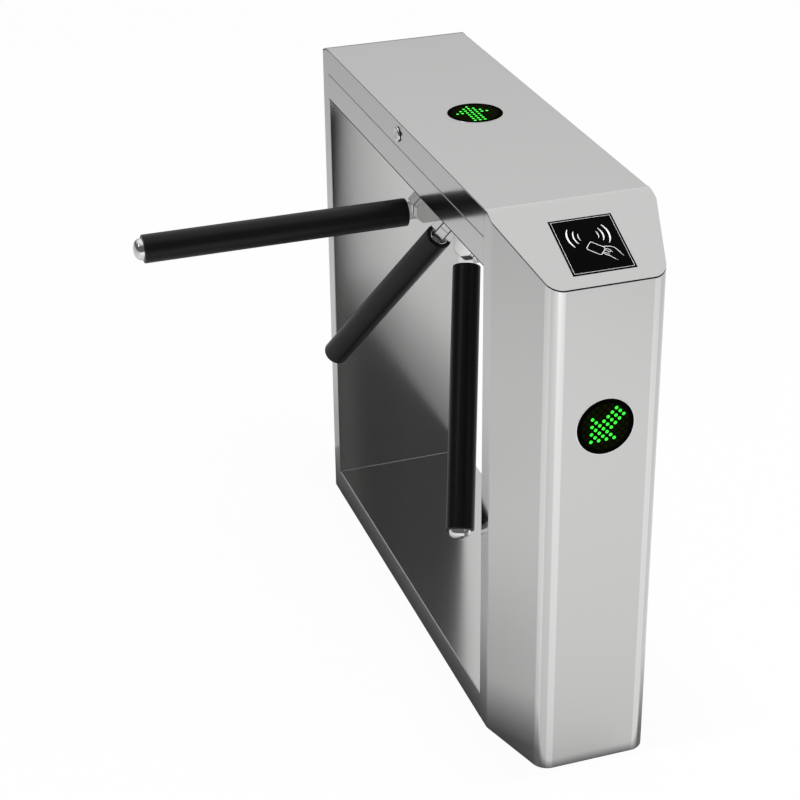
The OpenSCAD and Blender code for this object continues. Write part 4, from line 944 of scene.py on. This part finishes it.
def makeIndexSpring():
    p = spring
    low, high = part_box("index_spring")
    length = (high.z - low.z) * math.sqrt(2) - 2 * p["outer"]
    place = Matrix.Translation((low + high) / 2) @ Matrix.Rotation(-3 * math.pi / 4, 4, "X")
    bm = bmesh.new()
    bmesh.ops.create_circle(bm, cap_ends=False, segments=10, radius=p["wire"])
    firstRound = Matrix.Translation((p["coil"], 0, p["wire"] - length / 2)) @ Matrix.Rotation(math.pi / 2, 4, "X")
    bmesh.ops.transform(bm, matrix=firstRound, verts=bm.verts)
    rounds = p["turns"] * p["steps"]
    bmesh.ops.spin(bm, geom=bm.verts[:] + bm.edges[:], cent=(0, 0, 0), axis=(0, 0, 1), steps=rounds,
                   dvec=(0, 0, (length - 2 * p["wire"]) / rounds), angle=math.tau * p["turns"])
    bmesh.ops.edgeloop_fill(bm, edges=[e for e in bm.edges if len(e.link_faces) == 1])
    bmesh.ops.transform(bm, matrix=place, verts=bm.verts)
    coil = finish(objectFrom(cleaned(bm), "indexSpring"), springSteel, None, ["index_spring"])
    postEnd, leverEnd = (place @ Vector((0, 0, way * length / 2)) for way in (1, -1))
    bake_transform(coil)
    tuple(postEnd)
    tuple(leverEnd)


makeIndexSpring()
print("index spring done")


# CAD nodes that stay, each with its finish
def dressNodes():
    finishes = {
        # inner walls: steel with painted shade, darker towards the arm side
        shadePaintedWalls: ["inner_walls"],
        steelAlong: ["ceiling_panel", "mechanism_cover", "fixed_hinge_leaves", "moving_hinge_leaves"],
        tubeSteel: ["top_arm_tube", "lower_arm_tubes"],
        machineSteel: ["bearing_outer_rings", "bearing_inner_rings", "bearing_balls", "rotor_shaft", "index_wheel",
                       "shaft_gear", "shaft_nut", "pillars", "index_roller", "mechanism_bolts",
                       "left_plunger", "right_plunger", "lock_cam"],
        plateGrey: ["mechanism_plate", "mechanism_gussets", "bearing_housing", "rear_plate", "index_lever",
                    "anchor_plates"],
        yellowSteel: ["lock_disc", "left_pawl", "right_pawl", "damper_pinion"],
        darkPlastic: ["end_indicator_cups", "top_indicator_cup", "reader_modules", "cable_gland", "damper_body"],
        coilDark: ["solenoids"],
        boardGreen: ["control_board"],
        supplyCase: ["power_supply"],
    }
    for material, names in finishes.items():
        for name in names:
            mesh = nodes[name].data
            mesh.materials.clear()
            mesh.materials.append(material)


dressNodes()
print("CAD nodes dressed")


# studio: floor, world and soft lamps
# footShade, footReach and the pulls set the floor's painted shadow near the cabinet's foot
studio = {"sky": 0.98, "shade": 0.13, "skyWay": (-0.45, 0.20, 0.87), "skyFrom": 0.38, "skyTo": 0.92,
          "floor": 0.8, "floorShow": 0.97, "footShade": 0.20, "footReach": 0.18, "endPull": 8.0, "armPull": 1.4,
          "backPull": 0.82, "overhead": 105.0, "key": 6.0, "fill": 28.0}


def makeFloor():
    bm = bmesh.new()
    bmesh.ops.create_grid(bm, x_segments=2, y_segments=2, size=14)
    bmesh.ops.translate(bm, vec=(0, 0, -0.0005), verts=bm.verts)
    floor = objectFrom(bm, "studioFloor")
    material, tree, shader = newMaterial("studioFloor")
    shader.inputs["Roughness"].default_value = 0.9
    place = tree.nodes.new("ShaderNodeTexCoord")
    split = tree.nodes.new("ShaderNodeSeparateXYZ")
    tree.links.new(place.outputs["Object"], split.inputs["Vector"])

    def gapPast(distance, half, pull):
        past = addMaths(tree, "SUBTRACT", distance, half)
        return addMaths(tree, "MAXIMUM", addMaths(tree, "MULTIPLY", past, pull), 0.0)

    # painted shadow: the floor is darker near the cabinet's foot, and pales fastest past its ends
    endGap = gapPast(addMaths(tree, "ABSOLUTE", split.outputs["X"]), cabinet["halfLength"], studio["endPull"])
    armSide = addMaths(tree, "MULTIPLY", split.outputs["Y"], -1.0)
    armGap = gapPast(armSide, cabinet["halfWidth"], studio["armPull"])
    backGap = gapPast(split.outputs["Y"], cabinet["halfWidth"], studio["backPull"])
    gaps = tree.nodes.new("ShaderNodeCombineXYZ")
    reach = tree.nodes.new("ShaderNodeVectorMath")
    reach.operation = "LENGTH"
    for axis, gap in (("X", endGap), ("Y", addMaths(tree, "MAXIMUM", armGap, backGap))):
        tree.links.new(gap, gaps.inputs[axis])
    tree.links.new(gaps.outputs["Vector"], reach.inputs[0])
    floorWithPaintedShadow = spread(tree, reach.outputs["Value"], studio["footShade"], studio["floor"], 0.0, studio["footReach"])
    tree.links.new(floorWithPaintedShadow, shader.inputs["Base Color"])
    shader.inputs["Specular IOR Level"].default_value = 0.0
    output = tree.nodes["Material Output"]
    glow = tree.nodes.new("ShaderNodeEmission")
    path = tree.nodes.new("ShaderNodeLightPath")
    seen = addMaths(tree, "MULTIPLY", path.outputs["Is Camera Ray"], studio["floorShow"])
    mix = tree.nodes.new("ShaderNodeMixShader")
    tree.links.new(seen, mix.inputs["Fac"])
    tree.links.new(shader.outputs["BSDF"], mix.inputs[1])
    tree.links.new(glow.outputs["Emission"], mix.inputs[2])
    tree.links.new(mix.outputs["Shader"], output.inputs["Surface"])
    floor.data.materials.append(material)


def makeWorld():
    world = bpy.data.worlds.new("studioWorld")
    bpy.context.scene.world = world
    world.use_nodes = True
    tree = world.node_tree
    back = tree.nodes["Background"]
    back.inputs["Color"].default_value = (1, 1, 1, 1)
    place = tree.nodes.new("ShaderNodeTexCoord")
    lean = tree.nodes.new("ShaderNodeVectorMath")
    lean.operation = "DOT_PRODUCT"
    lean.inputs[1].default_value = Vector(studio["skyWay"]).normalized()
    tree.links.new(place.outputs["Generated"], lean.inputs[0])
    shade = tree.nodes.new("ShaderNodeMapRange")
    shade.interpolation_type = "SMOOTHSTEP"
    shade.inputs["From Min"].default_value = studio["skyFrom"]
    shade.inputs["From Max"].default_value = studio["skyTo"]
    shade.inputs["To Min"].default_value = studio["shade"]
    shade.inputs["To Max"].default_value = studio["sky"]
    tree.links.new(lean.outputs["Value"], shade.inputs["Value"])
    path = tree.nodes.new("ShaderNodeLightPath")
    level = tree.nodes.new("ShaderNodeMapRange")
    level.inputs["To Max"].default_value = 1.0
    tree.links.new(path.outputs["Is Camera Ray"], level.inputs["Value"])
    tree.links.new(shade.outputs["Result"], level.inputs["To Min"])
    tree.links.new(level.outputs["Result"], back.inputs["Strength"])


def makeSoftLamp(name, place, aim, size, power, mirrored=True):
    data = bpy.data.lights.new(name, "AREA")
    data.shape = "RECTANGLE"
    data.size, data.size_y = size
    data.energy = power
    obj = bpy.data.objects.new(name, data)
    obj.visible_glossy = mirrored
    look = (Vector(aim) - Vector(place)).to_track_quat("-Z", "Y")
    obj.matrix_world = Matrix.Translation(place) @ look.to_matrix().to_4x4()
    bpy.context.scene.collection.objects.link(obj)


makeFloor()
makeWorld()
makeSoftLamp("overheadLamp", (1.1, 0.9, 4.2), (0.5, 0.1, 0), (2.2, 1.4), studio["overhead"], False)
makeSoftLamp("keyLamp", (0.6, -2.6, 3.2), (0, 0, 0.6), (1.0, 1.0), studio["key"])
makeSoftLamp("fillLamp", (3.3, -1.2, 1.2), (0, 0, 0.5), (1.6, 1.0), studio["fill"], False)
bpy.context.scene.view_settings.view_transform = "Standard"
print("studio done")

bpy.context.view_layer.update()
